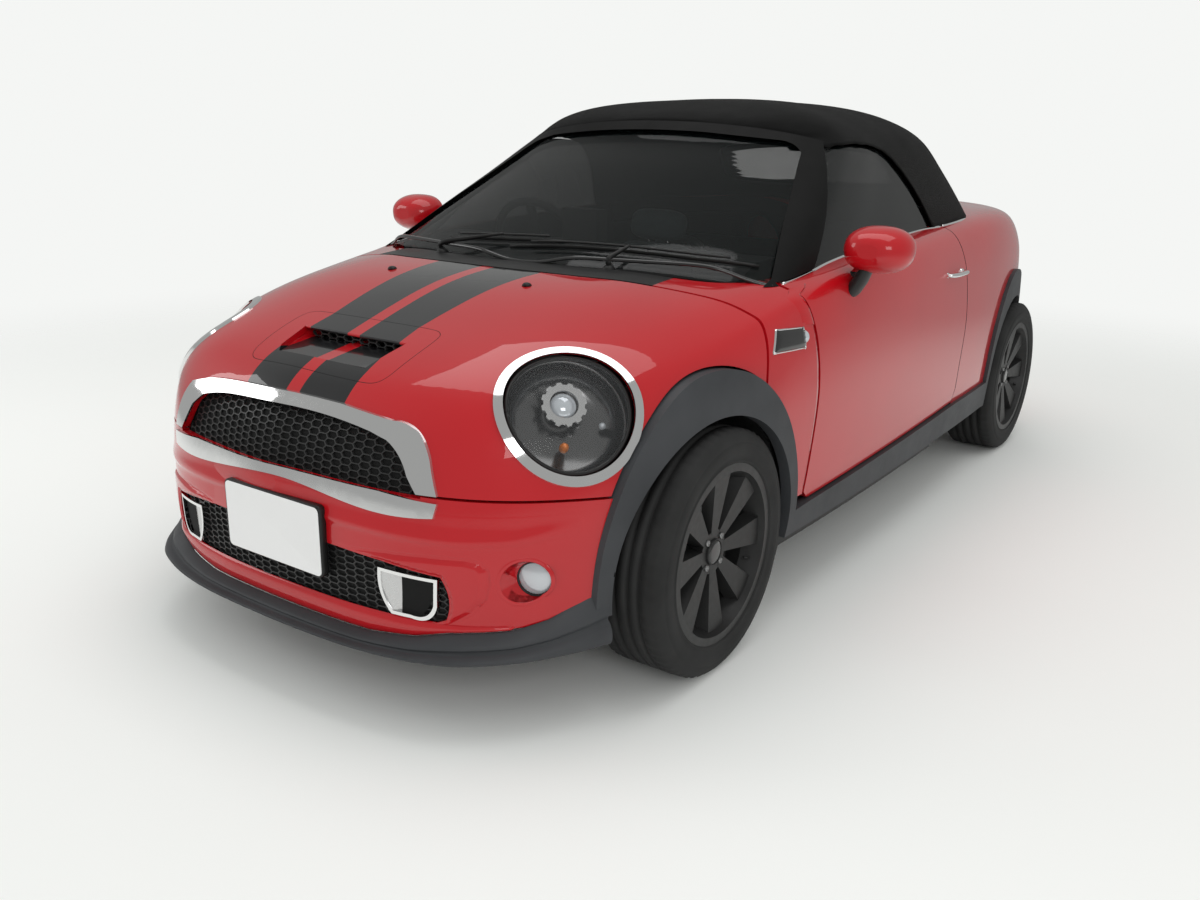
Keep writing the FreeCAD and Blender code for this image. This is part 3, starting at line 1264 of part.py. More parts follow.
front_house = wheelhouse(AXLE_FRONT, HALF * 0.545, ARCH + 2.3 * GAP).cut(body_solid(0).cut(body_solid(-2 * PANEL - GAP)))
rear_house = wheelhouse(AXLE_REAR, HALF * 0.7, ARCH + GAP)
houses = both_sides(front_house.fuse(rear_house))
well = across(ARCH + GAP, AXLE_REAR, HUB_UP, HALF * 0.7, FAR)
lamp_back = lamp_spot - lamp_axis * (float(named("headlamp_depth")) + SEAT_GAP)
lamp_bracket = rod(lamp_back, lamp_back - lamp_axis * 2 * LAMP, LAMP * LAMP_BRACKET_SHARE)
lamp_bracket = lamp_bracket.cut(across(ARCH + 2.3 * GAP, AXLE_FRONT, HUB_UP, -FAR, FAR))
lamp_brackets = both_sides(lamp_bracket)
tub = floor.fuse([
    tunnel, firewall, bulkhead, boot_floor, cross_rail, both_sides(sill_low), rails, rear_rails, houses, lamp_brackets
])
tub = tub.cut(both_sides(well)).common(inside)
tub = tub.cut(quarter_shell.common(block(-FAR, FAR, LENGTH * 0.12, FAR, 0, HEIGHT)))
clear_trailing = rod(trailing_foot, trailing_hub, BEAM + EYE_GAP)
clear_carrier = rod(Vector(spindle_in, AXLE_REAR, HUB_UP), Vector(HALF, AXLE_REAR, HUB_UP), float(named("hub_radius")) + GAP)
clear_beam = rod(Vector(0, beam_y, HUB_UP - BEAM), Vector(beam_end, beam_y, HUB_UP - BEAM), BEAM + GAP)
tub = tub.cut(both_sides(clear_trailing.fuse([clear_carrier, clear_beam])))
tub = tub.cut([both_sides(fog_barrel(FOG + GAP)), both_sides(arm_holes[0].fuse(arm_holes[1])), grown_silencer])
keep("floorpan", tub)


# Check every object, then write one file for each sub-part
doc.recompute()
for thing in doc.Objects:
    if "Invalid" in thing.State or "Error" in thing.State:
        raise SystemExit("%s did not build: %s" % (thing.Label, thing.State))
for piece in SUBPARTS:
    if piece.Shape.isNull() or not piece.Shape.isValid() or piece.Shape.Volume <= 0:
        raise SystemExit("%s has no sound shape" % piece.Label)

os.makedirs("parts", exist_ok=True)
for piece in SUBPARTS:
    piece.Shape.exportStep("parts/%s.step" % piece.Label)
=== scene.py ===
import math

import bmesh
import bpy
from mathutils import Matrix, Vector
from mathutils.bvhtree import BVHTree
from mathutils.geometry import barycentric_transform


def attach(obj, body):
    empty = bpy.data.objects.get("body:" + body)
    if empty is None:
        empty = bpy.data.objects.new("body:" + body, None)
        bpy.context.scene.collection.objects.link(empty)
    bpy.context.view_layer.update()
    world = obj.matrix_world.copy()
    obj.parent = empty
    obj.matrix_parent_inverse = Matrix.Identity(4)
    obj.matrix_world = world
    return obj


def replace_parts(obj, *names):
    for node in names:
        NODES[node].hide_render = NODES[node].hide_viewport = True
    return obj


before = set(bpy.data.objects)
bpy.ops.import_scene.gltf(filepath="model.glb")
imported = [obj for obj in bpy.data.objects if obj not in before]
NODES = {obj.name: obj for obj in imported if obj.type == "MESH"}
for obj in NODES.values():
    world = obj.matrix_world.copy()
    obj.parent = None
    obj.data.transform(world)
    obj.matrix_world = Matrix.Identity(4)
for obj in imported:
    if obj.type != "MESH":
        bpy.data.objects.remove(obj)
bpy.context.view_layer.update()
SIDES = (("left", 1), ("right", -1))
UP = Vector((0, 0, 1))

# Materials. Every one is worked out from object coordinates, which are the car's own frame in metres.


def new_material(name):
    """A material, its node tree and its main shader."""
    material = bpy.data.materials.new(name)
    material.use_nodes = True
    tree = material.node_tree
    return material, tree, tree.nodes["Principled BSDF"]


def put(shader, **values):
    """Plain numbers and colours on the shader's own sockets."""
    for name, value in values.items():
        socket = shader.inputs[name.replace("_", " ").title().replace("Ior", "IOR")]
        if isinstance(value, tuple) and len(value) == 3 and socket.type == "RGBA":
            value = value + (1.0,)
        socket.default_value = value


def node(tree, kind, **values):
    """A shader node with its settings and input numbers."""
    made = tree.nodes.new(kind)
    for name, value in values.items():
        if name.startswith("in_"):
            made.inputs[name[3:].replace("_", " ")].default_value = value
        else:
            setattr(made, name, value)
    return made


def wire(tree, source, target):
    """One link between two sockets."""
    tree.links.new(source, target)


def coordinates(tree):
    """The car's frame as texture coordinates."""
    return node(tree, "ShaderNodeTexCoord").outputs["Object"]


def noise(tree, where, scale, detail=3.0):
    """Smooth noise at a scale per metre."""
    made = node(tree, "ShaderNodeTexNoise", in_Scale=scale, in_Detail=detail, in_Roughness=0.5)
    wire(tree, where, made.inputs["Vector"])
    return made.outputs["Fac"]


def ramp(tree, source, stops):
    """A colour ramp from (place, colour) stops."""
    made = node(tree, "ShaderNodeValToRGB")
    wire(tree, source, made.inputs["Fac"])
    points = made.color_ramp.elements
    while len(points) < len(stops):
        points.new(0.5)
    for point, (place, colour) in zip(points, stops):
        point.position = place
        point.color = colour + (1.0,)
    return made.outputs["Color"]


def grey(level):
    """A neutral colour."""
    return (level, level, level)


def greys(low, high):
    """Ramp stops between two neutral colours."""
    return [(0.3, grey(low)), (0.7, grey(high))]


def spread(tree, source, low, high):
    """A 0 to 1 value carried to a range."""
    made = node(tree, "ShaderNodeMapRange")
    made.inputs["To Min"].default_value = low
    made.inputs["To Max"].default_value = high
    wire(tree, source, made.inputs["Value"])
    return made.outputs["Result"]


def arithmetic(tree, operation, first, second=None):
    """A maths node on sockets or plain numbers."""
    made = node(tree, "ShaderNodeMath", operation=operation)
    for socket, value in zip(made.inputs, (first, second)):
        if value is None:
            continue
        if isinstance(value, (int, float)):
            socket.default_value = value
        else:
            wire(tree, value, socket)
    return made.outputs["Value"]


def piecewise(tree, source, stops):
    """A value read along straight runs through (place, value) stops."""
    total = None
    for (low, start), (high, end) in zip(stops, stops[1:]):
        made = node(tree, "ShaderNodeMapRange", in_From_Min=low, in_From_Max=high, in_To_Min=0.0)
        made.inputs["To Max"].default_value = end - start
        wire(tree, source, made.inputs["Value"])
        total = made.outputs["Result"] if total is None else arithmetic(tree, "ADD", total, made.outputs["Result"])
    return arithmetic(tree, "ADD", total, stops[0][1])


def bump(tree, height, strength, distance):
    """Fine relief on a material's main shader."""
    made = node(tree, "ShaderNodeBump", in_Strength=strength, in_Distance=distance)
    wire(tree, height, made.inputs["Height"])
    wire(tree, made.outputs["Normal"], tree.nodes["Principled BSDF"].inputs["Normal"])


def mixed(tree, factor, first, second):
    """Two colours blended by a factor."""
    made = node(tree, "ShaderNodeMix", data_type="RGBA")
    wire(tree, factor, made.inputs["Factor"])
    for name, value in (("A", first), ("B", second)):
        socket = [s for s in made.inputs if s.name == name and s.type == "RGBA"][0]
        if isinstance(value, tuple):
            socket.default_value = value + (1.0,)
        else:
            wire(tree, value, socket)
    return [s for s in made.outputs if s.type == "RGBA"][0]


def surface_look(name, shade=None, rough=None, relief=None, **values):
    """A material from up to three noises.

    shade is (scale, detail, colour stops), rough is (scale, detail, low, high) and relief is (scale, detail,
    strength, distance).
    """
    material, tree, shader = new_material(name)
    put(shader, **values)
    where = coordinates(tree)
    if shade:
        scale, detail, stops = shade
        wire(tree, ramp(tree, noise(tree, where, scale, detail), stops), shader.inputs["Base Color"])
    if rough:
        scale, detail, low, high = rough
        wire(tree, spread(tree, noise(tree, where, scale, detail), low, high), shader.inputs["Roughness"])
    if relief:
        scale, detail, strength, distance = relief
        bump(tree, noise(tree, where, scale, detail), strength, distance)
    return material


STRIPE_INNER = 0.021
STRIPE_OUTER = [(-1.80, 0.168), (-1.66, 0.165), (-1.48, 0.15), (-1.35, 0.162), (-0.85, 0.2)]
STRIPE_BLACK = (0.006, 0.006, 0.007)
PAINT_RED = (0.47, 0.003, 0.008)
PAINT_STOPS = [(0.35, (0.455, 0.003, 0.0075)), (0.65, (0.485, 0.0035, 0.009))]
LINING = (0.012, 0.012, 0.013)
LINING_MIDDLE = (0.0, 0.3, 0.55)
LINING_EDGE = -0.08
MIRROR_FOOT_TOP = 0.918


def paint_look(name, striped=False, lined=False, footed=False):
    """Red clear-coated paint with a faint orange peel.

    The bonnet has twin stripes, a lined panel is dark on the side that faces the cabin, and a mirror has a black foot.
    """
    material, tree, shader = new_material(name)
    put(shader, base_color=PAINT_RED, roughness=0.4, specular_ior_level=0.15, coat_weight=1.0, coat_roughness=0.02)
    where = coordinates(tree)
    shade = ramp(tree, noise(tree, where, 3.0), PAINT_STOPS)
    if striped or footed:
        split = node(tree, "ShaderNodeSeparateXYZ")
        wire(tree, where, split.inputs["Vector"])
    if striped:
        aside = arithmetic(tree, "ABSOLUTE", split.outputs["X"])
        from_inner = arithmetic(tree, "GREATER_THAN", aside, STRIPE_INNER)
        to_outer = arithmetic(tree, "LESS_THAN", aside, piecewise(tree, split.outputs["Y"], STRIPE_OUTER))
        shade = mixed(tree, arithmetic(tree, "MULTIPLY", from_inner, to_outer), shade, STRIPE_BLACK)
    if lined:
        outward = node(tree, "ShaderNodeVectorMath", operation="SUBTRACT")
        wire(tree, where, outward.inputs[0])
        outward.inputs[1].default_value = LINING_MIDDLE
        facing = node(tree, "ShaderNodeVectorMath", operation="DOT_PRODUCT")
        wire(tree, outward.outputs["Vector"], facing.inputs[0])
        wire(tree, node(tree, "ShaderNodeNewGeometry").outputs["Normal"], facing.inputs[1])
        shade = mixed(tree, arithmetic(tree, "LESS_THAN", facing.outputs["Value"], LINING_EDGE), shade, LINING)
    if footed:
        shade = mixed(tree, arithmetic(tree, "LESS_THAN", split.outputs["Z"], MIRROR_FOOT_TOP), shade, grey(0.01))
    wire(tree, shade, shader.inputs["Base Color"])
    bump(tree, noise(tree, where, 900.0, 1.0), 0.02, 0.0004)
    return material


def plastic_look(name, low, high, roughness, grain=700.0, depth=0.0006, shine=0.4):
    """Moulded plastic with a fine grain and a little fading."""
    return surface_look(name, (5.0, 5.0, [(0.3, low), (0.7, high)]), (18.0, 4.0, roughness - 0.06, roughness + 0.08),
                        (grain, 2.0, 0.25, depth), roughness=roughness, specular_ior_level=shine)


def glass_look(name, tint, alpha):
    """Thin tinted glass: partly see-through, with a clear reflection and no refraction."""
    return surface_look(name, None, (12.0, 3.0, 0.01, 0.035), base_color=tint, roughness=0.02, alpha=alpha,
                        specular_ior_level=0.4)


def hood_look(name):
    """Black woven roof fabric."""
    material = surface_look(name, (14.0, 5.0, greys(0.003, 0.006)), roughness=0.95, sheen_weight=0.04,
                            sheen_roughness=0.5, specular_ior_level=0.1)
    tree = material.node_tree
    threads = [node(tree, "ShaderNodeTexWave", bands_direction=way, in_Scale=160.0) for way in "XY"]
    for thread in threads:
        wire(tree, coordinates(tree), thread.inputs["Vector"])
    bump(tree, arithmetic(tree, "ADD", threads[0].outputs["Fac"], threads[1].outputs["Fac"]), 0.5, 0.0005)
    return material


def metal_look(name, colour, roughness, metallic=1.0):
    """Bare or painted metal with uneven roughness."""
    return surface_look(name, None, (60.0, 5.0, roughness - 0.08, roughness + 0.12), (220.0, 3.0, 0.08, 0.0008),
                        base_color=colour, metallic=metallic, roughness=roughness)


def dome_look(name, colour, roughness):
    """Moulded lamp glass over a bright back."""
    return surface_look(name, None, (35.0, 3.0, roughness, roughness + 0.06), base_color=colour, roughness=roughness,
                        metallic=0.35, coat_weight=1.0, coat_roughness=0.02)


LOOKS = {
    "paint": paint_look("paint_red"),
    "mirror": paint_look("paint_red_mirror", footed=True),
    "striped": paint_look("paint_red_striped", striped=True),
    "lined": paint_look("paint_red_lined", lined=True),
    "chrome": surface_look("chrome", None, (40.0, 4.0, 0.04, 0.12), base_color=grey(0.83), metallic=1.0,
                           roughness=0.06),
    "dark_trim": plastic_look("dark_trim", (0.035, 0.037, 0.041), (0.05, 0.053, 0.058), 0.55),
    "black_trim": plastic_look("black_trim", grey(0.008), grey(0.014), 0.42),
    "dash": plastic_look("dash_plastic", grey(0.012), grey(0.018), 0.6, grain=380.0, depth=0.001),
    "gloss_black": surface_look("gloss_black", None, (25.0, 3.0, 0.08, 0.2), base_color=grey(0.008), roughness=0.12,
                                coat_weight=0.6, coat_roughness=0.04),
    "frame_black": plastic_look("frame_black", grey(0.003), grey(0.005), 0.5, shine=0.12),
    "glass": glass_look("window_glass", (0.004, 0.006, 0.006), 0.42),
    "side_glass": glass_look("side_glass", (0.004, 0.005, 0.005), 0.82),
    "lamp_clear": glass_look("lamp_glass", (0.35, 0.36, 0.37), 0.07),
    "lamp_bowl": surface_look("lamp_bowl", None, (30.0, 3.0, 0.12, 0.26), base_color=grey(0.16), metallic=0.95,
                              roughness=0.18),
    "lamp_red": glass_look("lamp_red", (0.35, 0.004, 0.006), 0.93),
    "hood": hood_look("hood_fabric"),
    "seat": surface_look("seat_fabric", (260.0, 3.0, [(0.35, (0.15, 0.19, 0.20)), (0.65, (0.22, 0.27, 0.28))]), None,
                         (700.0, 2.0, 0.4, 0.0008), roughness=0.9, sheen_weight=0.3, sheen_roughness=0.4,
                         specular_ior_level=0.25),
    "rubber": surface_look("tyre_rubber", (9.0, 6.0, greys(0.012, 0.022)), None, (400.0, 3.0, 0.2, 0.0008),
                           roughness=0.75, specular_ior_level=0.35),
    "wheel": metal_look("wheel_black", grey(0.012), 0.42, metallic=0.0),
    "steel": metal_look("steel", grey(0.35), 0.4),
    "cast": metal_look("cast_iron", grey(0.12), 0.55),
    "under": metal_look("under_paint", grey(0.015), 0.6, metallic=0.0),
    "plate": surface_look("plate", None, (60.0, 3.0, 0.38, 0.5), base_color=grey(0.85), roughness=0.45),
    "mesh": plastic_look("mesh_plastic", grey(0.022), grey(0.035), 0.38),
    "silver": metal_look("duct_silver", grey(0.62), 0.25, metallic=0.85),
    # Near-black used as painted shade in the grille plates, the hinge slots, the duct floors and the scoop's mouth, and
    # for the dark seam lines
    "shade_and_seam": plastic_look("painted_shade_and_seam_black", grey(0.002), grey(0.004), 0.8),
    "caliper": metal_look("caliper_iron", grey(0.22), 0.5, metallic=0.8),
    "lens_dome": dome_look("lens_dome", (0.62, 0.66, 0.70), 0.04),
    "amber": dome_look("lamp_amber", (0.80, 0.22, 0.02), 0.12),
    "fog_glass": dome_look("fog_glass", (0.55, 0.57, 0.60), 0.10),
}
# The CAD nodes that show. The others are hidden, because finer pieces stand for them.
NODES_IN_LOOK = {
    "chrome": ["bonnet_chrome", "front_chrome"],
    # The grille plates behind the honeycomb are near-black: painted shade of the depth behind the mesh
    "shade_and_seam": ["front_grilles"],
    "lined": ["door_left", "door_right", "rear_body"],
    "side_glass": ["door_glass_left", "door_glass_right"],
    "mirror": ["door_mirror_left", "door_mirror_right"],
    "paint": ["scuttle_panels", "boot_lid", "rear_bumper"],
    "lamp_red": ["tail_lamps"],
    "dark_trim": ["wheel_flares", "sill_trims"],
    "frame_black": ["windscreen_frame"],
    "glass": ["windscreen", "rear_window"],
    "black_trim": ["cowl"],
    "under": ["floorpan"],
    "steel": ["front_suspension", "rear_axle", "exhaust"],
    "cast": ["engine_block", "knuckle_front_left", "knuckle_front_right"],
    "dash": ["dashboard", "steering_wheel", "centre_console"],
    "wheel": ["wheel_front_left", "wheel_front_right", "wheel_rear_left", "wheel_rear_right"],
}
LOOK_OF_NODE = {name: look for look, names in NODES_IN_LOOK.items() for name in names}
for name, piece in NODES.items():
    piece.data.materials.clear()
    piece.data.materials.append(LOOKS[LOOK_OF_NODE.get(name, "seat")])

# Pieces. Each is built in metres at its place on the car and rides on a CAD body.


def flipped(point, sign):
    """The point itself, or the same point on the other side of the car where sign is -1."""
    return Vector((point[0] * sign, point[1], point[2]))


def turns(count):
    """Evenly spaced angles round a circle."""
    return [2 * math.pi * step / count for step in range(count)]


def linked(name, data):
    """A new object in the scene."""
    made = bpy.data.objects.new(name, data)
    bpy.context.scene.collection.objects.link(made)
    return made


def show(name, mesh, body, look, smooth=True):
    """A finished mesh as a piece of the car."""
    piece = linked(name, mesh)
    mesh.materials.append(LOOKS[look])
    for face in mesh.polygons:
        face.use_smooth = smooth
    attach(piece, body)
    return piece


def settle(mesh, joined=0.0):
    """Turns a mesh's faces to one side, and joins its points that lie nearer than a distance."""
    made = bmesh.new()
    made.from_mesh(mesh)
    if joined:
        bmesh.ops.remove_doubles(made, verts=made.verts, dist=joined)
    bmesh.ops.recalc_face_normals(made, faces=made.faces)
    made.to_mesh(mesh)
    made.free()


def without_loose(name, points, faces):
    """A bmesh of points and faces, without the points that no face uses."""
    mesh = bpy.data.meshes.new(name)
    mesh.from_pydata(points, [], faces)
    made = bmesh.new()
    made.from_mesh(mesh)
    bmesh.ops.delete(made, geom=[v for v in made.verts if not v.link_faces], context="VERTS")
    return mesh, made


def from_rings(name, rings, body, look, closed=True, capped=True, smooth=True):
    """A skin through rings of equally many points."""
    count = len(rings[0])
    points = [tuple(point) for ring in rings for point in ring]
    faces = []
    wrap = count if closed else count - 1
    for i in range(len(rings) - 1):
        for j in range(wrap):
            k = (j + 1) % count
            faces.append((i * count + j, i * count + k, (i + 1) * count + k, (i + 1) * count + j))
    if capped:
        last = (len(rings) - 1) * count
        faces.append(tuple(reversed(range(count))))
        faces.append(tuple(range(last, last + count)))
    mesh = bpy.data.meshes.new(name)
    mesh.from_pydata(points, [], faces)
    settle(mesh)
    return show(name, mesh, body, look, smooth)


def open_skin(name, rings, look, body="car_body"):
    """A skin through rows of points, open at its ends and its sides."""
    return from_rings(name, rings, body, look, closed=False, capped=False)


SPLINE_STEPS = 16


def resampled(guides, count):
    """Evenly spaced points along a smooth line through the guides."""
    guides = [Vector(guide) for guide in guides]
    fine = []
    for i in range(len(guides) - 1):
        before = guides[max(i - 1, 0)]
        after = guides[min(i + 2, len(guides) - 1)]
        start, end = guides[i], guides[i + 1]
        for step in range(SPLINE_STEPS):
            t = step / SPLINE_STEPS
            bend = (end - before) * 0.5
            lead = (after - start) * 0.5
            fine.append(
                start * (2 * t ** 3 - 3 * t * t + 1)
                + end * (3 * t * t - 2 * t ** 3)
                + bend * (t ** 3 - 2 * t * t + t)
                + lead * (t ** 3 - t * t)
            )
    fine.append(guides[-1])
    run = [0.0]
    for a, b in zip(fine, fine[1:]):
        run.append(run[-1] + (b - a).length)
    points = []
    j = 0
    for i in range(count):
        goal = run[-1] * i / (count - 1)
        while j < len(run) - 2 and run[j + 1] < goal:
            j += 1
        span = run[j + 1] - run[j]
        points.append(fine[j].lerp(fine[j + 1], (goal - run[j]) / span if span else 0.0))
    return points


def along_line(stops, value):
    """A value read along straight runs through (place, value) stops."""
    if value <= stops[0][0]:
        return stops[0][1]
    for (a, b), (c, d) in zip(stops, stops[1:]):
        if value <= c:
            return b + (d - b) * (value - a) / (c - a)
    return stops[-1][1]


TREES = {}


def tree_of(name):
    """A CAD node's surface, ready for rays. It is also there once the node is hidden."""
    if name not in TREES:
        mesh = NODES[name].data
        TREES[name] = BVHTree.FromPolygons([v.co for v in mesh.vertices], [tuple(f.vertices) for f in mesh.polygons])
    return TREES[name]


def shoot(name, start, way):
    """The first point of a CAD node that a ray meets and the outward direction there, or nothing."""
    place, normal, face, reach = tree_of(name).ray_cast(Vector(start), Vector(way))
    return (place, normal) if place is not None else (None, None)


ABOVE = 2.0
AHEAD = -3.0


def shoot_down(name, x, y):
    """The top of a CAD node over a spot."""
    return shoot(name, (x, y, ABOVE), (0, 0, -1))


def shoot_back(name, x, z):
    """The front of a CAD node at a spot in front view."""
    return shoot(name, (x, AHEAD, z), (0, 1, 0))


def on_skin(nodes, point):
    """The nearest point on any of some CAD nodes, with the outward direction there."""
    best = None
    for name in nodes:
        place, normal, face, reach = tree_of(name).find_nearest(Vector(point))
        if place is not None and (best is None or reach < best[0]):
            best = (reach, place, normal)
    return best[1], best[2].normalized()


def arch(place, aside, up, width, height, sink, count):
    """The rounded face of a moulding over a place."""
    ring = []
    for step in range(count):
        turn = math.pi * step / (count - 1)
        ring.append(place + aside * (math.cos(turn) * width / 2) + up * (math.sin(turn) * height - sink))
    return ring


def strip(name, places, normals, width, height, body, look, sink=0.0015):
    """A rounded moulding along a line, lying on a surface."""
    rings = []
    for i, (place, normal) in enumerate(zip(places, normals)):
        along = (places[min(i + 1, len(places) - 1)] - places[max(i - 1, 0)]).normalized()
        aside = along.cross(normal).normalized()
        up = aside.cross(along)
        ring = arch(place, aside, up, width, height, sink, 7)
        ring.append(place - aside * width / 2 - up * sink * 1.5)
        ring.append(place + aside * width / 2 - up * sink * 1.5)
        rings.append(ring)
    return from_rings(name, rings, body, look)


def loop_strip(name, places, ways, width, height, look, sink=0.001, rounds=2):
    """A moulding that closes on itself, smoothed a number of times."""
    count = len(places)
    for _ in range(rounds):
        places = [(places[i - 1] + places[i] * 2 + places[(i + 1) % count]) / 4 for i in range(count)]
        ways = [(ways[i - 1] + ways[i] + ways[(i + 1) % count]).normalized() for i in range(count)]
    rings = []
    for i in range(count + 1):
        place, way = places[i % count], ways[i % count]
        along = (places[(i + 1) % count] - places[(i - 1) % count]).normalized()
        rings.append(arch(place, along.cross(way).normalized(), way, width, height, sink, 9))
    open_skin(name, rings, look)


def moulding(name, nodes, guides, width, height, body, look, count=48):
    """A rounded moulding laid on CAD nodes along a line of guides."""
    spots = [on_skin(nodes, point) for point in resampled(guides, count)]
    normals = [normal for place, normal in spots]
    for _ in range(4):
        normals = [
            (normals[max(i - 1, 0)] + normals[i] + normals[min(i + 1, count - 1)]).normalized() for i in range(count)
        ]
    return strip(name, [place for place, normal in spots], normals, width, height, body, look)


def bar(name, points, radii, body, look, sides=12, flat=1.0, up=(0, 0, 1)):
    """A round or oval bar along points, with a radius at each."""
    rings = []
    for i, (point, radius) in enumerate(zip(points, radii)):
        point = Vector(point)
        along = (Vector(points[min(i + 1, len(points) - 1)]) - Vector(points[max(i - 1, 0)])).normalized()
        aside = along.cross(Vector(up)).normalized()
        rise = aside.cross(along)
        rings.append([
            point + aside * (math.cos(turn) * radius) + rise * (math.sin(turn) * radius * flat)
            for turn in turns(sides)
        ])
    return from_rings(name, rings, body, look)


def lathe(name, centre, axis, profile, body, look, sides=48, capped=True):
    """A turned piece. Its profile is (distance along the axis, radius)."""
    axis = Vector(axis).normalized()
    aside = axis.orthogonal().normalized()
    other = axis.cross(aside)
    rings = []
    for along, radius in profile:
        rings.append([
            Vector(centre) + axis * along + (aside * (math.cos(turn) * radius) + other * (math.sin(turn) * radius))
            for turn in turns(sides)
        ])
    return from_rings(name, rings, body, look, capped=capped)


# Bright strips along the belt: around the screen's base, the doors' tops and behind the hood
BODY_SKINS = ["door_left", "door_right", "rear_body", "scuttle_panels", "cowl", "boot_lid", "bonnet"]
ROOM_SKINS = ["door_glass_left", "door_glass_right", "soft_top", "windscreen_frame", "windscreen", "rear_window"]
BELT_MIDDLE = 0.1
BELT_REACH = (0.3, 1.6)
BELT_STEPS = 240
BELT_STEP_UP = 0.004
BELT_HEIGHT = 0.95
BELT_WIDTH = 0.013


def highest(names, x, y):
    """The highest surface of some CAD nodes over a spot: its height and node."""
    best = (None, None)
    for name in names:
        place, normal = shoot_down(name, x, y)
        if place is not None and (best[0] is None or place.z > best[0]):
            best = (place.z, name)
    return best


def belt_point(angle):
    """Where the greenhouse meets the body along a line out from the middle of the cabin."""
    aside = math.sin(angle)
    along = -math.cos(angle)
    low, high = BELT_REACH
    for _ in range(18):
        middle = (low + high) / 2
        spot = (aside * middle, BELT_MIDDLE + along * middle)
        room = highest(ROOM_SKINS, *spot)[0]
        skin = highest(BODY_SKINS, *spot)[0]
        if room is not None and (skin is None or room > skin + BELT_STEP_UP):
            low = middle
        else:
            high = middle
    x = aside * high
    y = BELT_MIDDLE + along * high
    height, name = highest(BODY_SKINS, x, y)
    return Vector((x, y, height or BELT_HEIGHT)), name


def make_belt():
    """The strip in runs, each on the body that carries it."""
    runs = {}
    for step in range(BELT_STEPS):
        place, name = belt_point(2 * math.pi * (step + 0.5) / BELT_STEPS)
        if name not in ("door_left", "door_right"):
            name = "front" if place.y < 0 else "rear"
        runs.setdefault(name, []).append(place)
    orders = {"front": lambda place: place.x, "rear": lambda place: math.atan2(place.x, place.y - BELT_MIDDLE)}
    for key, places in runs.items():
        places.sort(key=orders.get(key, lambda place: place.y))
        for _ in range(6):
            middle = [(a + b * 2 + c) / 4 for a, b, c in zip(places, places[1:], places[2:])]
            places = [places[0]] + middle + [places[-1]]
        places = resampled(places, 90)
        normals = []
        for place in places:
            out = Vector((place.x, place.y - BELT_MIDDLE, 0)).normalized()
            normals.append((out * 0.55 + UP).normalized())
        body = key if key.startswith("door") else "car_body"
        look = "gloss_black" if key == "front" else "chrome"
        strip("belt_strip_" + key, places, normals, BELT_WIDTH, 0.006, body, look, sink=0.002)


make_belt()

# Door handles: a bright bowed bar over the recess, on two feet
HANDLE_MIDDLE = Vector((0.8195, 0.400, 0.831))
HANDLE_HALF = 0.084
HANDLE_FOOT = 0.806
HANDLE_FOOT_LENGTH = 0.018


def make_handle(side, sign):
    points = []
    radii = []
    for step in range(25):
        t = step / 12 - 1
        out = 0.012 + 0.012 * (1 - t ** 4) - (0.022 if abs(t) > 0.99 else 0)
        points.append(Vector((sign * (HANDLE_MIDDLE.x + out), HANDLE_MIDDLE.y + HANDLE_HALF * t, HANDLE_MIDDLE.z)))
        radii.append(0.0105 - 0.003 * t ** 6)
    bar("door_handle_" + side, points, radii, "door_" + side, "chrome", flat=0.75)
    for name, end in (("front", -1), ("rear", 1)):
        foot = Vector((sign * HANDLE_FOOT, HANDLE_MIDDLE.y + end * HANDLE_HALF * 0.9, HANDLE_MIDDLE.z))
        tip = foot + Vector((sign * HANDLE_FOOT_LENGTH, 0, 0))
        steps = [foot.lerp(tip, i / 3) for i in range(4)]
        bar("handle_foot_%s_%s" % (side, name), steps, [0.012, 0.010, 0.009, 0.008], "door_" + side, "chrome")


for side, sign in SIDES:
    make_handle(side, sign)

# Wipers resting at the foot of the windscreen, each with the line of its blade and its pivot
WIPERS = {
    "long": ([(-0.06, -0.891, 0.951), (0.10, -0.867, 0.962), (0.28, -0.838, 0.962), (0.50, -0.783, 0.951),
              (0.645, -0.715, 0.937)], (0.30, -0.905, 0.925)),
    "short": ([(-0.33, -0.845, 0.955), (-0.21, -0.853, 0.962), (-0.10, -0.856, 0.966), (0.10, -0.846, 0.9732)],
              (-0.30, -0.915, 0.925)),
}
PIVOT_AXIS = (0, -0.3, 1)
PIVOT_PROFILE = [(0, 0.02), (0.03, 0.018), (0.038, 0.014), (0.042, 0.006)]
ARM_LIFT = Vector((0, -0.01, 0.026))
ARM_STEPS = 20


def make_wiper(name, guides, pivot):
    spots = [on_skin(["windscreen", "windscreen_frame"], point) for point in resampled(guides, 30)]
    blade = [place + normal * 0.009 for place, normal in spots]
    strip("wiper_blade_" + name, blade, [normal for place, normal in spots], 0.007, 0.006, "car_body", "black_trim",
          sink=0.006)
    spine = [place + normal * 0.019 for place, normal in spots[3:27]]
    bar("wiper_spine_" + name, spine, [0.0035] * len(spine), "car_body", "black_trim", sides=8)
    middle = spots[15][0] + spots[15][1] * 0.021
    base = Vector(pivot)
    arm = resampled([base, base + ARM_LIFT, base.lerp(middle, 0.5) + ARM_LIFT * 0.55, middle], ARM_STEPS)
    radii = [0.0085 - 0.0045 * i / (ARM_STEPS - 1) for i in range(ARM_STEPS)]
    bar("wiper_arm_" + name, arm, radii, "car_body", "black_trim", sides=10)
    lathe("wiper_pivot_" + name, base - Vector((0, 0, 0.03)), PIVOT_AXIS, PIVOT_PROFILE, "car_body", "black_trim",
          sides=24)


for name, (line, pivot) in WIPERS.items():
    make_wiper(name, line, pivot)

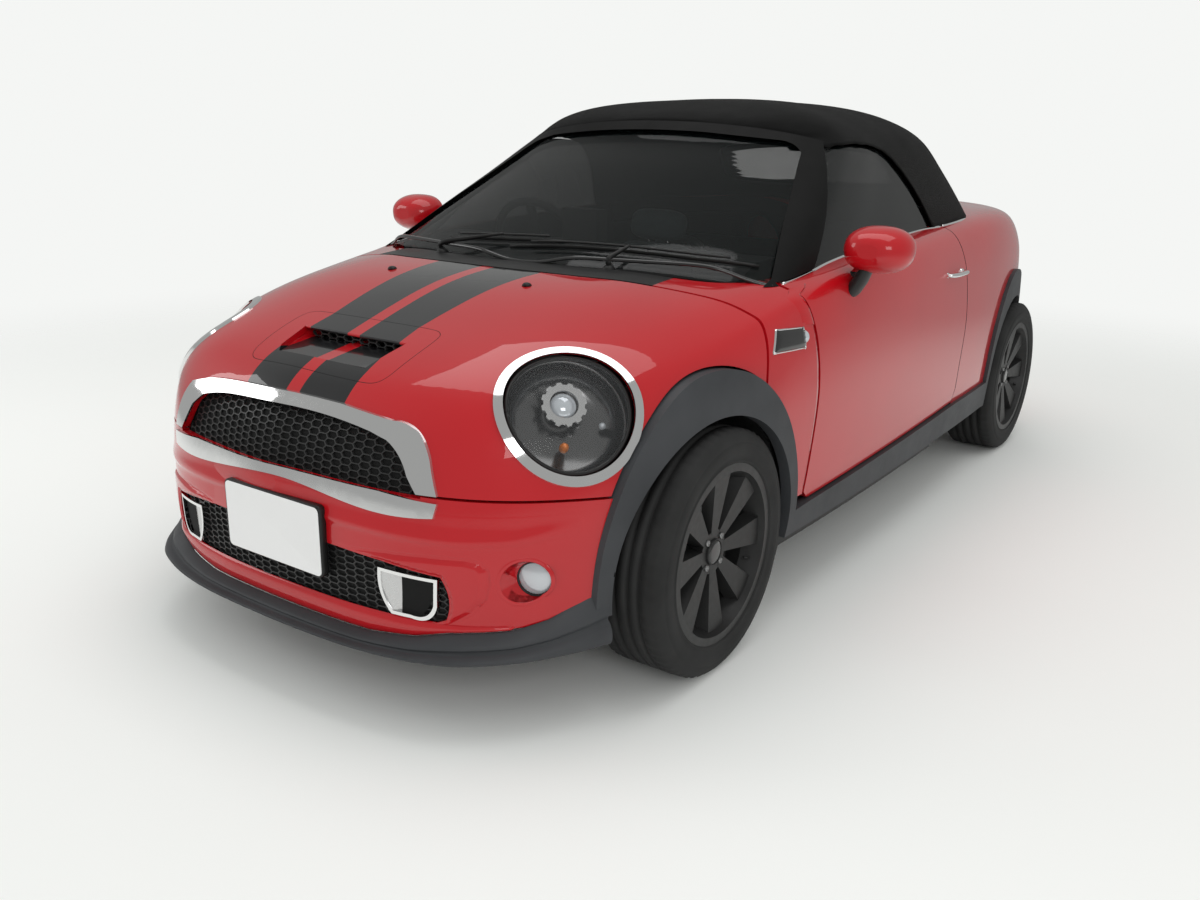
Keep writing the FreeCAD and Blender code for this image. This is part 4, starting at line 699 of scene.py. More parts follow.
# Washer jets on the bonnet
JET_SPOT = (0.24, -1.185, 0.903)
JET_PROFILE = [(0, 0.013), (0.004, 0.0125), (0.008, 0.009), (0.010, 0.004)]
for side, sign in SIDES:
    place, normal = on_skin(["bonnet"], flipped(JET_SPOT, sign))
    lathe("washer_jet_" + side, place - normal * 0.002, normal + Vector((0, 0.25, 0)), JET_PROFILE, "bonnet",
          "black_trim", sides=20)

# Tyres: grooved tread and a stepped sidewall in place of the plain rings
TYRE_RADIUS = 0.308
TYRE_SIDES = 180
TREAD_HALF = 0.082
GROOVES = (-0.046, -0.016, 0.016, 0.046)
GROOVE_HALF = 0.0045
GROOVE_DEEP = 0.007
SIPE_DEEP = 0.0035
SHOULDER_DROP = 0.001
TYRE_SIDE = [
    (0.0945, 0.2262), (0.0985, 0.2290), (0.0992, 0.2330), (0.0978, 0.2350), (0.1015, 0.2480), (0.1024, 0.2620),
    (0.1016, 0.2740), (0.0996, 0.2765), (0.0996, 0.2785), (0.0985, 0.2850), (0.0950, 0.2935), (0.0900, 0.3000),
]
TYRE_INSIDE = [(0.087, 0.2165), (0.0, 0.2155), (-0.087, 0.2165)]
WHEEL_PLACES = {
    "front_left": (0.7265, -1.147), "front_right": (-0.7265, -1.147),
    "rear_left": (0.7305, 1.320), "rear_right": (-0.7305, 1.320),
}
POINT_JOIN = 0.00001


def tyre_profile(sipe):
    """The whole section of a tyre, from inner bead to outer bead and back, with the cross cut where sipe is set."""
    shoulder = TYRE_RADIUS - (SIPE_DEEP if sipe else 0.0)
    tread = [(-TREAD_HALF, shoulder - SHOULDER_DROP), (-TREAD_HALF * 0.8, shoulder)]
    for groove in GROOVES:
        tread += [
            (groove - GROOVE_HALF, TYRE_RADIUS), (groove - GROOVE_HALF * 0.8, TYRE_RADIUS - GROOVE_DEEP),
            (groove + GROOVE_HALF * 0.8, TYRE_RADIUS - GROOVE_DEEP), (groove + GROOVE_HALF, TYRE_RADIUS),
        ]
    tread += [(TREAD_HALF * 0.8, shoulder), (TREAD_HALF, shoulder - SHOULDER_DROP)]
    return [(-out, radius) for out, radius in TYRE_SIDE] + tread + TYRE_SIDE[::-1] + TYRE_INSIDE


def make_tyre(corner):
    x, y = WHEEL_PLACES[corner]
    rings = []
    for step, turn in enumerate(turns(TYRE_SIDES)):
        rings.append([
            Vector((x + along, y + math.cos(turn) * radius, TYRE_RADIUS + math.sin(turn) * radius))
            for along, radius in tyre_profile(step % 3 == 0)
        ])
    tyre = from_rings("tread_" + corner, rings + rings[:1], "wheel_" + corner, "rubber", capped=False)
    settle(tyre.data, POINT_JOIN)
    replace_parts(tyre, "tyre_" + corner)


for corner in WHEEL_PLACES:
    make_tyre(corner)

# Wheel caps, bolts, valves and calipers
CAP_PROFILE = [(-0.004, 0.030), (0.004, 0.030), (0.0065, 0.028), (0.0075, 0.020), (0.008, 0.002)]
CAP_RING_PROFILE = [(-0.002, 0.0335), (0.005, 0.0335), (0.0065, 0.032), (0.005, 0.0300), (-0.002, 0.0300)]
BOLT_PROFILE = [(-0.002, 0.0085), (0.006, 0.0085), (0.008, 0.006), (0.005, 0.005), (0.004, 0.001)]
BOLT_CIRCLE = 0.046
VALVE_RADII = [0.0045, 0.004, 0.0035, 0.0035, 0.003]
VALVE_TURN = -0.39


def on_wheel(corner, out, radius, turn):
    """A point on a wheel: how far outside its middle plane, from its axis and round it."""
    x, y = WHEEL_PLACES[corner]
    sign = 1 if x > 0 else -1
    return Vector((x + sign * out, y + math.cos(turn) * radius, TYRE_RADIUS + math.sin(turn) * radius))


def make_wheel_trim(corner):
    axis = (1 if WHEEL_PLACES[corner][0] > 0 else -1, 0, 0)
    body = "wheel_" + corner
    face = on_wheel(corner, 0.062, 0, 0)
    lathe("wheel_cap_" + corner, face, axis, CAP_PROFILE, body, "gloss_black")
    lathe("cap_ring_" + corner, face, axis, CAP_RING_PROFILE, body, "wheel", capped=False)
    for bolt in range(4):
        head = on_wheel(corner, 0.060, BOLT_CIRCLE, math.pi / 4 + bolt * math.pi / 2)
        lathe("bolt_%s_%d" % (corner, bolt), head, axis, BOLT_PROFILE, body, "steel", sides=6)
    valve = [on_wheel(corner, 0.070, 0.185 - 0.006 * i, VALVE_TURN) for i in range(5)]
    bar("valve_" + corner, valve, VALVE_RADII, body, "black_trim", sides=10)


CALIPER_STEPS = 16
CALIPER_START = 0.55 * math.pi
CALIPER_SWEEP = 0.42 * math.pi
CALIPER_BULGE = 0.012


def make_caliper(corner):
    """Brake caliper hugging the disc's rear edge, or its front edge on the rear axle."""
    rings = []
    for step in range(CALIPER_STEPS + 1):
        turn = CALIPER_START + (step / CALIPER_STEPS) * CALIPER_SWEEP
        if corner.startswith("rear"):
            turn = math.pi - turn
        bulge = CALIPER_BULGE * math.sin(math.pi * step / CALIPER_STEPS)
        rings.append([on_wheel(corner, out, radius, turn) for out, radius in (
            (-0.030, 0.100), (-0.036 - bulge, 0.125), (-0.030, 0.150), (-0.006, 0.158 + bulge * 0.3),
            (0.030, 0.158 + bulge * 0.3), (0.040, 0.150), (0.042 + bulge * 0.3, 0.122), (0.040, 0.100),
            (0.0285, 0.098), (0.0285, 0.1445), (0.0015, 0.1445), (0.0015, 0.098),
        )])
    body = corner.replace("front", "knuckle") if corner.startswith("front") else "car_body"
    from_rings("caliper_" + corner, rings, body, "caliper")


for corner in WHEEL_PLACES:
    make_wheel_trim(corner)
    make_caliper(corner)

# Honeycomb meshes in the nose: long hexagons in staggered rows, laid just before the dark plates, whose near-black is
# painted shade
CELL_WIDE = 0.0155
CELL_FLAT = 0.0096
CELL_TALL = 0.0065
CELL_STEP = 0.0282
CELL_RISE = 0.0078
WEB_WIDE = 0.0019
WEB_TALL = 0.0013
SCOOP_MOUTH = -1.536
SCOOP_MOUTH_HALF = 0.16


def plate_depth(x, z):
    """How far forward the grille's plate stands at a spot in front view, or nothing beside it."""
    place, normal = shoot_back("front_grilles", x, z)
    return place.y if place is not None else None


def hexagon(x, z, wide, flat, tall):
    return [
        (x - wide, z), (x - flat, z + tall), (x + flat, z + tall), (x + wide, z), (x + flat, z - tall),
        (x - flat, z - tall),
    ]


def honeycomb(name, low_z, high_z, half_x, depth_at, body="car_body", front=0.005, back=0.0005):
    """Cells whose walls stand out from a depth. A cell that reaches past the depth's edge is left out."""
    points = []
    faces = []
    columns = int(half_x / CELL_STEP) + 1
    for row in range(int((high_z - low_z) / CELL_RISE) + 1):
        for column in range(-columns, columns + 1):
            if (row + column) % 2:
                continue
            x = column * CELL_STEP
            z = low_z + CELL_RISE * row
            outer = hexagon(x, z, CELL_WIDE + WEB_WIDE, CELL_FLAT + WEB_WIDE * 0.6, CELL_TALL + WEB_TALL)
            inner = hexagon(x, z, CELL_WIDE, CELL_FLAT, CELL_TALL)
            depths = [depth_at(a, b) for a, b in outer + inner]
            if None in depths:
                continue
            base = len(points)
            points += [(a, depth - front, b) for (a, b), depth in zip(outer + inner, depths)]
            points += [(a, depth - back, b) for (a, b), depth in zip(inner, depths[6:])]
            for i in range(6):
                j = (i + 1) % 6
                faces.append((base + i, base + j, base + 6 + j, base + 6 + i))
                faces.append((base + 6 + i, base + 6 + j, base + 12 + j, base + 12 + i))
    mesh = bpy.data.meshes.new(name)
    mesh.from_pydata(points, [], faces)
    return show(name, mesh, body, "mesh", smooth=False)


honeycomb("upper_honeycomb", 0.520, 0.692, 0.44, plate_depth)
honeycomb("lower_honeycomb", 0.232, 0.398, 0.50, plate_depth)
honeycomb("scoop_honeycomb", 0.7795, 0.796, SCOOP_MOUTH_HALF - CELL_STEP, lambda x, z: SCOOP_MOUTH, "bonnet",
          front=0.004, back=-0.004)

# Headlamps: projector lens and its toothed bezel, the lower bulb, the small lamp and a black seal
LAMP_SPOT = Vector((0.5918, -1.4824, 0.6839))
LAMP_TURN = math.radians(51)
LAMP_TILT = math.radians(36)
LAMP_AXIS = Vector((
    math.sin(LAMP_TURN) * math.cos(LAMP_TILT), -math.cos(LAMP_TURN) * math.cos(LAMP_TILT), math.sin(LAMP_TILT)
))
LAMP_SIDE = LAMP_AXIS.cross(UP).normalized()
LAMP_UP = LAMP_SIDE.cross(LAMP_AXIS)
LAMP_RADIUS = 0.138
LAMP_SIDES = 72
LENS_REACH = 0.2
COVER_ROWS = 12
BOWL_PROFILE = [
    (-0.070, 0.020), (-0.0695, 0.070), (-0.066, 0.098), (-0.055, 0.118), (-0.035, 0.129), (-0.016, 0.1335),
    (-0.006, 0.1345), (-0.006, 0.1375), (-0.035, 0.1375), (-0.069, 0.126), (-0.0735, 0.07), (-0.0735, 0.02),
]
# Each lens or bulb: how far aside and up in lamp radii, how deep, its profile, look and sides
LAMP_PARTS = {
    "projector_lens": ((-0.05, 0.28, 0.040), [(-0.012, 0.0305), (0.0, 0.031), (0.008, 0.0285), (0.014, 0.022),
                                              (0.018, 0.013), (0.0195, 0.003)], "lens_dome", 48),
    "beam_bulb": ((0.03, -0.42, 0.052), [(0.0, 0.010), (0.010, 0.0115), (0.020, 0.010), (0.027, 0.006),
                                         (0.030, 0.001)], "amber", 48),
    "marker_bulb": ((-0.66, -0.08, 0.050), [(0.0, 0.008), (0.008, 0.0085), (0.014, 0.006), (0.017, 0.001)],
                    "lens_dome", 28),
}
BEZEL_SPOT = (-0.05, 0.28, 0.030)


def in_lamp(aside, up, deep):
    """A point in the left lamp: aside and up in lamp radii, and how deep behind its middle."""
    return LAMP_SPOT + LAMP_SIDE * (LAMP_RADIUS * aside) + LAMP_UP * (LAMP_RADIUS * up) - LAMP_AXIS * deep


def toothed_ring(name, centre, axis, inner, outer, deep, teeth, look):
    """A flat ring whose outer edge has square teeth."""
    axis = axis.normalized()
    aside = axis.orthogonal().normalized()
    other = axis.cross(aside)
    rings = [[], [], [], []]
    for step, turn in enumerate(turns(teeth * 8)):
        reach = outer if step % 8 < 4 else outer * 0.9
        way = aside * math.cos(turn) + other * math.sin(turn)
        rings[0].append(centre + way * inner)
        rings[1].append(centre + way * inner + axis * deep)
        rings[2].append(centre + way * reach + axis * deep)
        rings[3].append(centre + way * reach)
    return from_rings(name, rings + [rings[0]], "car_body", look, capped=False, smooth=False)


def lens_spot(radius, turn, sign):
    """A point of the lamp's clear cover, on the front of its CAD plug."""
    way = LAMP_SIDE * math.cos(turn) + LAMP_UP * math.sin(turn)
    axis = flipped(LAMP_AXIS, sign)
    start = flipped(LAMP_SPOT + way * radius + LAMP_AXIS * LENS_REACH, sign)
    place, normal = shoot("headlamps", start, -axis)
    return place if place is not None else start - axis * LENS_REACH


def make_headlamp(side, sign):
    axis = flipped(LAMP_AXIS, sign)
    bowl = lathe("headlamp_bowl_" + side, flipped(LAMP_SPOT, sign), axis, BOWL_PROFILE, "car_body", "lamp_bowl",
                 sides=LAMP_SIDES)
    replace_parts(bowl, "headlamps")
    covers = []
    for row in range(COVER_ROWS + 1):
        radius = 0.1372 * row / COVER_ROWS + 0.0002
        covers.append([lens_spot(radius, turn, sign) for turn in turns(LAMP_SIDES)])
    from_rings("headlamp_cover_" + side, covers, "car_body", "lamp_clear", capped=False)
    for name, (spot, profile, look, sides) in LAMP_PARTS.items():
        lathe("%s_%s" % (name, side), flipped(in_lamp(*spot), sign), axis, profile, "car_body", look, sides=sides)
        if name == "projector_lens":
            toothed_ring("projector_bezel_" + side, flipped(in_lamp(*BEZEL_SPOT), sign), axis, 0.0325, 0.052, 0.006,
                         12, "chrome")
    seal = [lens_spot(0.1365, turn, sign) for turn in turns(LAMP_SIDES) + [2 * math.pi]]
    strip("headlamp_seal_" + side, seal, [axis] * len(seal), 0.010, 0.005, "car_body", "black_trim", sink=0.003)


for side, sign in SIDES:
    make_headlamp(side, sign)

# Fog lamps: fluted glass in a black ring
FOG_SPOT = Vector((0.6185, -1.6225, 0.3565))
FOG_AXIS = Vector((0.40, -0.915, -0.02)).normalized()
FOG_RING_PROFILE = [(-0.006, 0.0412), (0.003, 0.0412), (0.0045, 0.0400), (0.003, 0.0370), (-0.004, 0.0365)]
FOG_RADIUS = 0.0371
FOG_HALF = 0.0369
FLUTE_STEP = 0.0062


def make_fog(side, sign):
    axis = flipped(FOG_AXIS, sign)
    centre = flipped(FOG_SPOT - FOG_AXIS * 0.004, sign)
    ring = lathe("fog_ring_" + side, centre, axis, FOG_RING_PROFILE, "car_body", "black_trim", capped=False)
    if side == "left":
        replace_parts(ring, "fog_lamps")
    level = axis.cross(UP).normalized()
    rings = []
    for row in range(25):
        aside = -FOG_HALF + 2 * FOG_HALF * row / 24
        tall = math.sqrt(max(FOG_RADIUS ** 2 - aside ** 2, 0.0))
        ring = []
        for column in range(25):
            up = tall * (column / 12 - 1)
            swell = 0.006 * (1 - (aside ** 2 + up ** 2) / FOG_RADIUS ** 2)
            flute = 0.0007 * math.cos(aside * 2 * math.pi / FLUTE_STEP)
            ring.append(centre + level * aside + Vector((0, 0, up)) + axis * (swell + flute - 0.002))
        rings.append(ring)
    open_skin("fog_glass_" + side, rings, "fog_glass")


for side, sign in SIDES:
    make_fog(side, sign)

# Side trims behind the front wheels: a bright frame round a dark panel, with a round indicator
TRIM_CORNERS = [(-0.905, 0.758), (-0.730, 0.752), (-0.712, 0.803), (-0.880, 0.812)]
TRIM_ROWS = 8
TRIM_COLUMNS = 28
TRIM_EDGE_STEPS = 12
INDICATOR_SPOT = (-0.752, 0.780)
INDICATOR_PROFILE = [(0.0, 0.0185), (0.006, 0.0185), (0.009, 0.016), (0.0115, 0.010), (0.0125, 0.002)]
ASIDE = 2.0


def side_spot(y, z, sign):
    """A point of the panel ahead of the door, seen from the side, and its outward direction."""
    place, normal = shoot("scuttle_panels", (sign * ASIDE, y, z), (-sign, 0, 0))
    if place is None:
        place, normal = on_skin(["scuttle_panels"], (sign * 0.80, y, z))
    return place, normal


def make_side_trim(side, sign):
    low_front, low_rear, high_rear, high_front = [Vector(corner) for corner in TRIM_CORNERS]
    rings = []
    for row in range(TRIM_ROWS + 1):
        v = row / TRIM_ROWS
        ring = []
        for column in range(TRIM_COLUMNS + 1):
            u = column / TRIM_COLUMNS
            spot = low_front.lerp(low_rear, u).lerp(high_front.lerp(high_rear, u), v)
            place, normal = side_spot(spot.x, spot.y, sign)
            edge = min(1.0, 8 * min(u, 1 - u), 4 * min(v, 1 - v))
            ring.append(place + normal * (0.001 + 0.0035 * math.sqrt(max(edge, 0.0))))
        rings.append(ring)
    open_skin("side_trim_" + side, rings, "gloss_black")
    frame_line = []
    for (y0, z0), (y1, z1) in zip(TRIM_CORNERS, TRIM_CORNERS[1:] + TRIM_CORNERS[:1]):
        for step in range(TRIM_EDGE_STEPS):
            frame_line.append(side_spot(y0 + (y1 - y0) * step / TRIM_EDGE_STEPS,
                                        z0 + (z1 - z0) * step / TRIM_EDGE_STEPS, sign))
    frame_line.append(frame_line[0])
    strip("side_trim_frame_" + side, [place for place, way in frame_line], [way for place, way in frame_line], 0.006,
          0.006, "car_body", "chrome")
    place, normal = side_spot(*INDICATOR_SPOT, sign)
    lathe("side_indicator_" + side, place, normal, INDICATOR_PROFILE, "car_body", "lens_dome", sides=36)


for side, sign in SIDES:
    make_side_trim(side, sign)

# Front fender's rear edge, carried up to each door
FENDER_GAP = 0.0095
FENDER_LOW = 0.345
FENDER_HIGH = 0.816
FENDER_ROWS = 26
FENDER_COLUMNS = 8
FENDER_SKIN = 0.795
FENDER_SEARCH = (-0.722, -0.80, 0.0005)
DOOR_SEARCH = (-0.76, -0.60)
DOOR_FLAT = -0.58
DOOR_DEPTH = 0.03


def side_hit(name, y, z, sign):
    """The outermost point of a CAD node at a height and a place along the car."""
    return shoot(name, (sign * ASIDE, y, z), (-sign, 0, 0))[0]


def door_front(z, sign):
    """Where a door's front edge stands at a height."""
    low, high = DOOR_SEARCH
    door = "door_left" if sign > 0 else "door_right"
    skin = side_hit(door, DOOR_FLAT, z, sign)
    for _ in range(16):
        middle = (low + high) / 2
        spot = side_hit(door, middle, z, sign)
        if spot is not None and skin is not None and abs(spot.x) > abs(skin.x) - DOOR_DEPTH:
            high = middle
        else:
            low = middle
    return high


def fender_end(z, sign):
    """Where the fender's skin stops ahead of the door at a height."""
    y, last, step = FENDER_SEARCH
    while y > last:
        spot = side_hit("scuttle_panels", y, z, sign)
        if spot is not None and abs(spot.x) > FENDER_SKIN:
            return y
        y -= step
    return None


def make_fender_edge(side, sign):
    """The fender's rear edge, which hides the door's hinge slot, and a near-black face behind it that is painted shade
    in the slot.
    """
    outer = []
    back = []
    for step in range(FENDER_ROWS + 1):
        z = FENDER_LOW + (FENDER_HIGH - FENDER_LOW) * step / FENDER_ROWS
        start = fender_end(z, sign)
        if start is None:
            continue
        edge = door_front(z, sign)
        end = edge - FENDER_GAP
        ahead = side_hit("scuttle_panels", start - 0.001, z, sign)
        behind = side_hit("door_" + side, edge + 0.012, z, sign)
        if ahead is None or behind is None or end < start + 0.002:
            continue
        ring = []
        for column in range(FENDER_COLUMNS + 1):
            y = ahead.y - 0.0005 + (end - ahead.y) * column / FENDER_COLUMNS
            t = (y - ahead.y) / (behind.y - ahead.y)
            ring.append(Vector((ahead.x + (behind.x - ahead.x) * t, y, z)))
        ring.append(ring[-1] - Vector((sign * 0.0025, 0.0002, 0)))
        outer.append(ring)
        back.append([
            Vector((ahead.x - sign * 0.035, ahead.y - 0.004, z)), Vector((ahead.x - sign * 0.030, end - 0.016, z)),
            Vector((ahead.x - sign * 0.0035, end - 0.004, z)),
        ])
    open_skin("fender_edge_" + side, outer, "paint")
    # The face behind the edge is near-black: painted shade in the hinge slot
    open_skin("fender_return_" + side, back, "shade_and_seam")


for side, sign in SIDES:
    make_fender_edge(side, sign)

# Front bumper: a carved copy of the CAD skin under a finely moulded face with its crease, slit, duct pods and bowls
SKIN_REACH = 0.0002
SKIN_TURN = 0.9


def smooth_step(value):
    value = min(max(value, 0.0), 1.0)
    return value * value * (3 - 2 * value)


def soft_normals(mesh, source):
    """A carved mesh's corner normals: its CAD node's own wherever it still lies on the node."""
    old = NODES[source].data
    normals = [None] * len(mesh.loops)
    for face in mesh.polygons:
        place, normal, index, reach = tree_of(source).find_nearest(face.center)
        same = place is not None and reach < SKIN_REACH and normal.dot(face.normal) > SKIN_TURN
        corners = old.polygons[index] if same and len(old.polygons[index].vertices) == 3 else None
        for loop in face.loop_indices:
            if corners is None:
                normals[loop] = face.normal.copy()
                continue
            spots = [old.vertices[v].co for v in corners.vertices]
            ways = [old.corner_normals[i].vector for i in corners.loop_indices]
            here = mesh.vertices[mesh.loops[loop].vertex_index].co
            normals[loop] = barycentric_transform(here, *spots, *ways).normalized()
    return normals


def carved(name, source, cutters, body, look):
    """A copy of a CAD node with pieces cut out of it, which stands for the node and keeps its soft shading."""
    made = bmesh.new()
    made.from_mesh(NODES[source].data)
    bmesh.ops.remove_doubles(made, verts=made.verts, dist=POINT_JOIN)
    mesh = bpy.data.meshes.new(name + "_whole")
    made.to_mesh(mesh)
    made.free()
    whole = linked(name + "_whole", mesh)
    for cutter in cutters:
        cut = whole.modifiers.new("cut", "BOOLEAN")
        cut.operation = "DIFFERENCE"
        cut.solver = "EXACT"
        cut.object = cutter
    graph = bpy.context.evaluated_depsgraph_get()
    result = bpy.data.meshes.new_from_object(whole.evaluated_get(graph))
    result.name = name
    for extra in cutters + [whole]:
        bpy.data.objects.remove(extra)
    result.materials.clear()
    piece = show(name, result, body, look)
    result.normals_split_custom_set(soft_normals(result, source))
    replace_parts(piece, source)


def cutter_from(name, rings):
    """A closed solid through rings, to cut with."""
    count = len(rings[0])
    points = [tuple(point) for ring in rings for point in ring]
    faces = [tuple(range(count)), tuple(reversed(range((len(rings) - 1) * count, len(rings) * count)))]
    for i in range(len(rings) - 1):
        for j in range(count):
            k = (j + 1) % count
            faces.append((i * count + j, (i + 1) * count + j, (i + 1) * count + k, i * count + k))
    mesh = bpy.data.meshes.new(name)
    mesh.from_pydata(points, [], faces)
    settle(mesh)
    return linked(name, mesh)


FACE_STEP = 0.0025
FACE_LOW = 0.2500
FACE_HIGH = 0.5150
FACE_WIDE = 0.690
FACE_ROWS = int((FACE_HIGH - FACE_LOW) / FACE_STEP) + 1
FACE_COLUMNS = int(FACE_WIDE / FACE_STEP) + 1
FACE_ROUNDS = 24
FACE_LAST = -1.45
FACE_SLOPE = -0.2
OLD_HOLE = (0.5514, 0.345)
OLD_HOLE_REACH = (0.046, 0.054)
BESIDE_HOLE = [0.487, 0.506, 0.606, 0.632]
POD_LINE = [
    (0.155, 0.372), (0.205, 0.372), (0.235, 0.392), (0.33, 0.4025), (0.43, 0.4085), (0.515, 0.409), (0.541, 0.402),
    (0.5535, 0.384), (0.5555, 0.355), (0.548, 0.318), (0.522, 0.283), (0.487, 0.258), (0.470, 0.240),
]
POD_INSIDE = POD_LINE + [(0.155, 0.24)]


def skin_depth(x, z):
    place, normal = shoot_back("front_bumper", x, z)
    return place.y if place is not None and place.y < FACE_LAST and normal.y < FACE_SLOPE else None


def inside_outline(outline, x, z):
    inside = False
    for (a, b), (c, d) in zip(outline, outline[1:] + outline[:1]):
        if (b > z) != (d > z) and x < a + (z - b) * (c - a) / (d - b):
            inside = not inside
    return inside


def reach_to(line, x, z):
    best = 1.0
    for (a, b), (c, d) in zip(line, line[1:]):
        run = (c - a) ** 2 + (d - b) ** 2
        t = min(max(((x - a) * (c - a) + (z - b) * (d - b)) / run, 0.0), 1.0)
        best = min(best, math.hypot(x - a - t * (c - a), z - b - t * (d - b)))
    return best


def through(spots, values, x):
    """The value at x of the even curve through known ones."""
    total = 0.0
    for i, share in enumerate(values):
        for j in range(len(spots)):
            if i != j:
                share *= (x - spots[j]) / (spots[i] - spots[j])
        total += share
    return total


def face_field():
    """The bumper's face as depths over a grid in front view, with the CAD lamp hole closed."""
    field = []
    for row in range(FACE_ROWS):
        z = FACE_LOW + FACE_STEP * row
        line = [skin_depth(FACE_STEP * column, z) for column in range(FACE_COLUMNS)]
        depths = [skin_depth(x, z) for x in BESIDE_HOLE]
        if None not in depths:
            for column in range(FACE_COLUMNS):
                x = FACE_STEP * column
                near = ((x - OLD_HOLE[0]) / OLD_HOLE_REACH[0]) ** 2 + ((z - OLD_HOLE[1]) / OLD_HOLE_REACH[1]) ** 2
                if near < 1.0:
                    line[column] = through(BESIDE_HOLE, depths, x)
        field.append(line)
    for _ in range(FACE_ROUNDS):
        fresh = [line[:] for line in field]
        for row in range(FACE_ROWS):
            for column in range(FACE_COLUMNS):
                if field[row][column] is None:
                    continue
                around = []
                for a, b in ((row - 1, column), (row + 1, column), (row, abs(column - 1)), (row, column + 1)):
                    if 0 <= a < FACE_ROWS and b < FACE_COLUMNS and field[a][b] is not None:
                        around.append(field[a][b])
                if len(around) == 4:
                    fresh[row][column] = field[row][column] * 0.5 + sum(around) / 8
        field = fresh
    return field


FACE = face_field()
FAR_OFF = 9.0
NEIGHBOURS = ((1, 0, 1), (0, 1, 1), (1, 1, 1.41), (1, -1, 1.41))


def nearer(reach, row, column, way):
    """A spot's reach, or a smaller one by way of the neighbours on one side of it."""
    here = reach[row][column]
    for a, b, far in NEIGHBOURS:
        a, b = row + a * way, column + b * way
        if 0 <= a < FACE_ROWS and 0 <= b < FACE_COLUMNS:
            here = min(here, reach[a][b] + far * FACE_STEP)
    return here


def edge_reach():
    """How far each spot of the face is from the nearest edge, counted over the grid."""
    reach = [[0.0 if depth is None else FAR_OFF for depth in line] for line in FACE]
    reach[0] = [0.0] * FACE_COLUMNS
    reach[-1] = [0.0] * FACE_COLUMNS
    for line in reach:
        line[-1] = 0.0
    for _ in range(2):
        for row in range(FACE_ROWS):
            for column in range(FACE_COLUMNS):
                reach[row][column] = nearer(reach, row, column, -1)
        for row in reversed(range(FACE_ROWS)):
            for column in reversed(range(FACE_COLUMNS)):
                reach[row][column] = nearer(reach, row, column, 1)
    return reach


EDGE = edge_reach()
CREASE = [(0.0, 0.452), (0.25, 0.450), (0.40, 0.4475), (0.50, 0.446), (0.60, 0.449), (0.70, 0.472)]
CREASE_RISE = 0.0045
CREASE_BELOW = 0.010
CREASE_ABOVE = 0.020
POD_RISE = 0.0052
SLIT_REACH = 0.0030
BLEND_START = 0.0015
BLEND_WIDTH = 0.012
BURIED = 0.0004
BOWL_RADIUS = 0.0405
BOWL_FLARE = math.radians(36)
BOWL_SIDES = 72
BOWL_ROWS = (-0.25, 0.0, 0.25, 0.5, 0.75, 0.92, 1.0)
SLOPE_STEP = 0.004
NO_FACE = -1.5


def relief(x, z):
    """How far the moulded face stands out of the plain one."""
    rise = 0.0003
    fold = z - along_line(CREASE, x)
    swell = math.exp(-(fold / (CREASE_BELOW if fold < 0 else CREASE_ABOVE)) ** 2)
    rise += CREASE_RISE * swell * smooth_step((0.71 - x) / 0.08)
    near = reach_to(POD_LINE, x, z)
    if inside_outline(POD_INSIDE, x, z):
        rise += POD_RISE * smooth_step((near - 0.0016) / 0.012)
    if near < SLIT_REACH:
        rise -= 0.0030 * (1 - near / SLIT_REACH)
    return rise


def face_depth(x, z):
    column = min(max(x / FACE_STEP, 0.0), FACE_COLUMNS - 2.001)
    row = min(max((z - FACE_LOW) / FACE_STEP, 0.0), FACE_ROWS - 2.001)
    a, b = int(row), int(column)
    total = 0.0
    for i, j, share in (
        (a, b, (1 - row + a) * (1 - column + b)), (a + 1, b, (row - a) * (1 - column + b)),
        (a, b + 1, (1 - row + a) * (column - b)), (a + 1, b + 1, (row - a) * (column - b)),
    ):
        depth = FACE[i][j]
        if depth is None:
            return NO_FACE
        total += depth * share
    return total - relief(x, z)


def bowl_edges():
    """The lamp bowl's inner rim and where its flared wall meets the bumper's face, round the lamp."""
    level = FOG_AXIS.cross(UP).normalized()
    rise = level.cross(FOG_AXIS)
    edges = []
    for turn in turns(BOWL_SIDES):
        out = level * math.cos(turn) + rise * math.sin(turn)
        rim = FOG_SPOT + out * BOWL_RADIUS
        way = FOG_AXIS * math.cos(BOWL_FLARE) + out * math.sin(BOWL_FLARE)
        low, high = -0.004, 0.07
        for _ in range(16):
            middle = (low + high) / 2
            spot = rim + way * middle
            if spot.y < face_depth(spot.x, spot.z):
                high = middle
            else:
                low = middle
        edges.append((rim, rim + way * max(high, 0.0015), way))
    return edges


BOWL = bowl_edges()
BOWL_OUTLINE = [(meet.x, meet.z) for rim, meet, way in BOWL]


def make_lamp_bowl(side, sign):
    """A bowl's flared wall and its rounded edge. It gives back the solid that makes room for them."""
    rings = [[flipped(rim.lerp(meet, share), sign) for rim, meet, way in BOWL] for share in BOWL_ROWS]
    from_rings("lamp_bowl_" + side, rings, "car_body", "paint", capped=False)
    ways = []
    for rim, meet, way in BOWL:
        slope_x = face_depth(meet.x + SLOPE_STEP, meet.z) - face_depth(meet.x - SLOPE_STEP, meet.z)
        slope_z = face_depth(meet.x, meet.z + SLOPE_STEP) - face_depth(meet.x, meet.z - SLOPE_STEP)
        slope = Vector((slope_x / (2 * SLOPE_STEP), -1.0, slope_z / (2 * SLOPE_STEP)))
        ways.append(flipped(slope.normalized(), sign))
    loop_strip("bowl_edge_" + side, [flipped(meet, sign) for rim, meet, way in BOWL], ways, 0.010, 0.0014, "paint",
               sink=0.0008, rounds=0)
    return cutter_from("bowl_cutter_" + side, [
        [flipped(rim + way * reach, sign) for rim, meet, way in BOWL] for reach in (-0.02, 0.08)
    ])


carved("bumper_skin", "front_bumper", [make_lamp_bowl(side, sign) for side, sign in SIDES], "car_body", "paint")


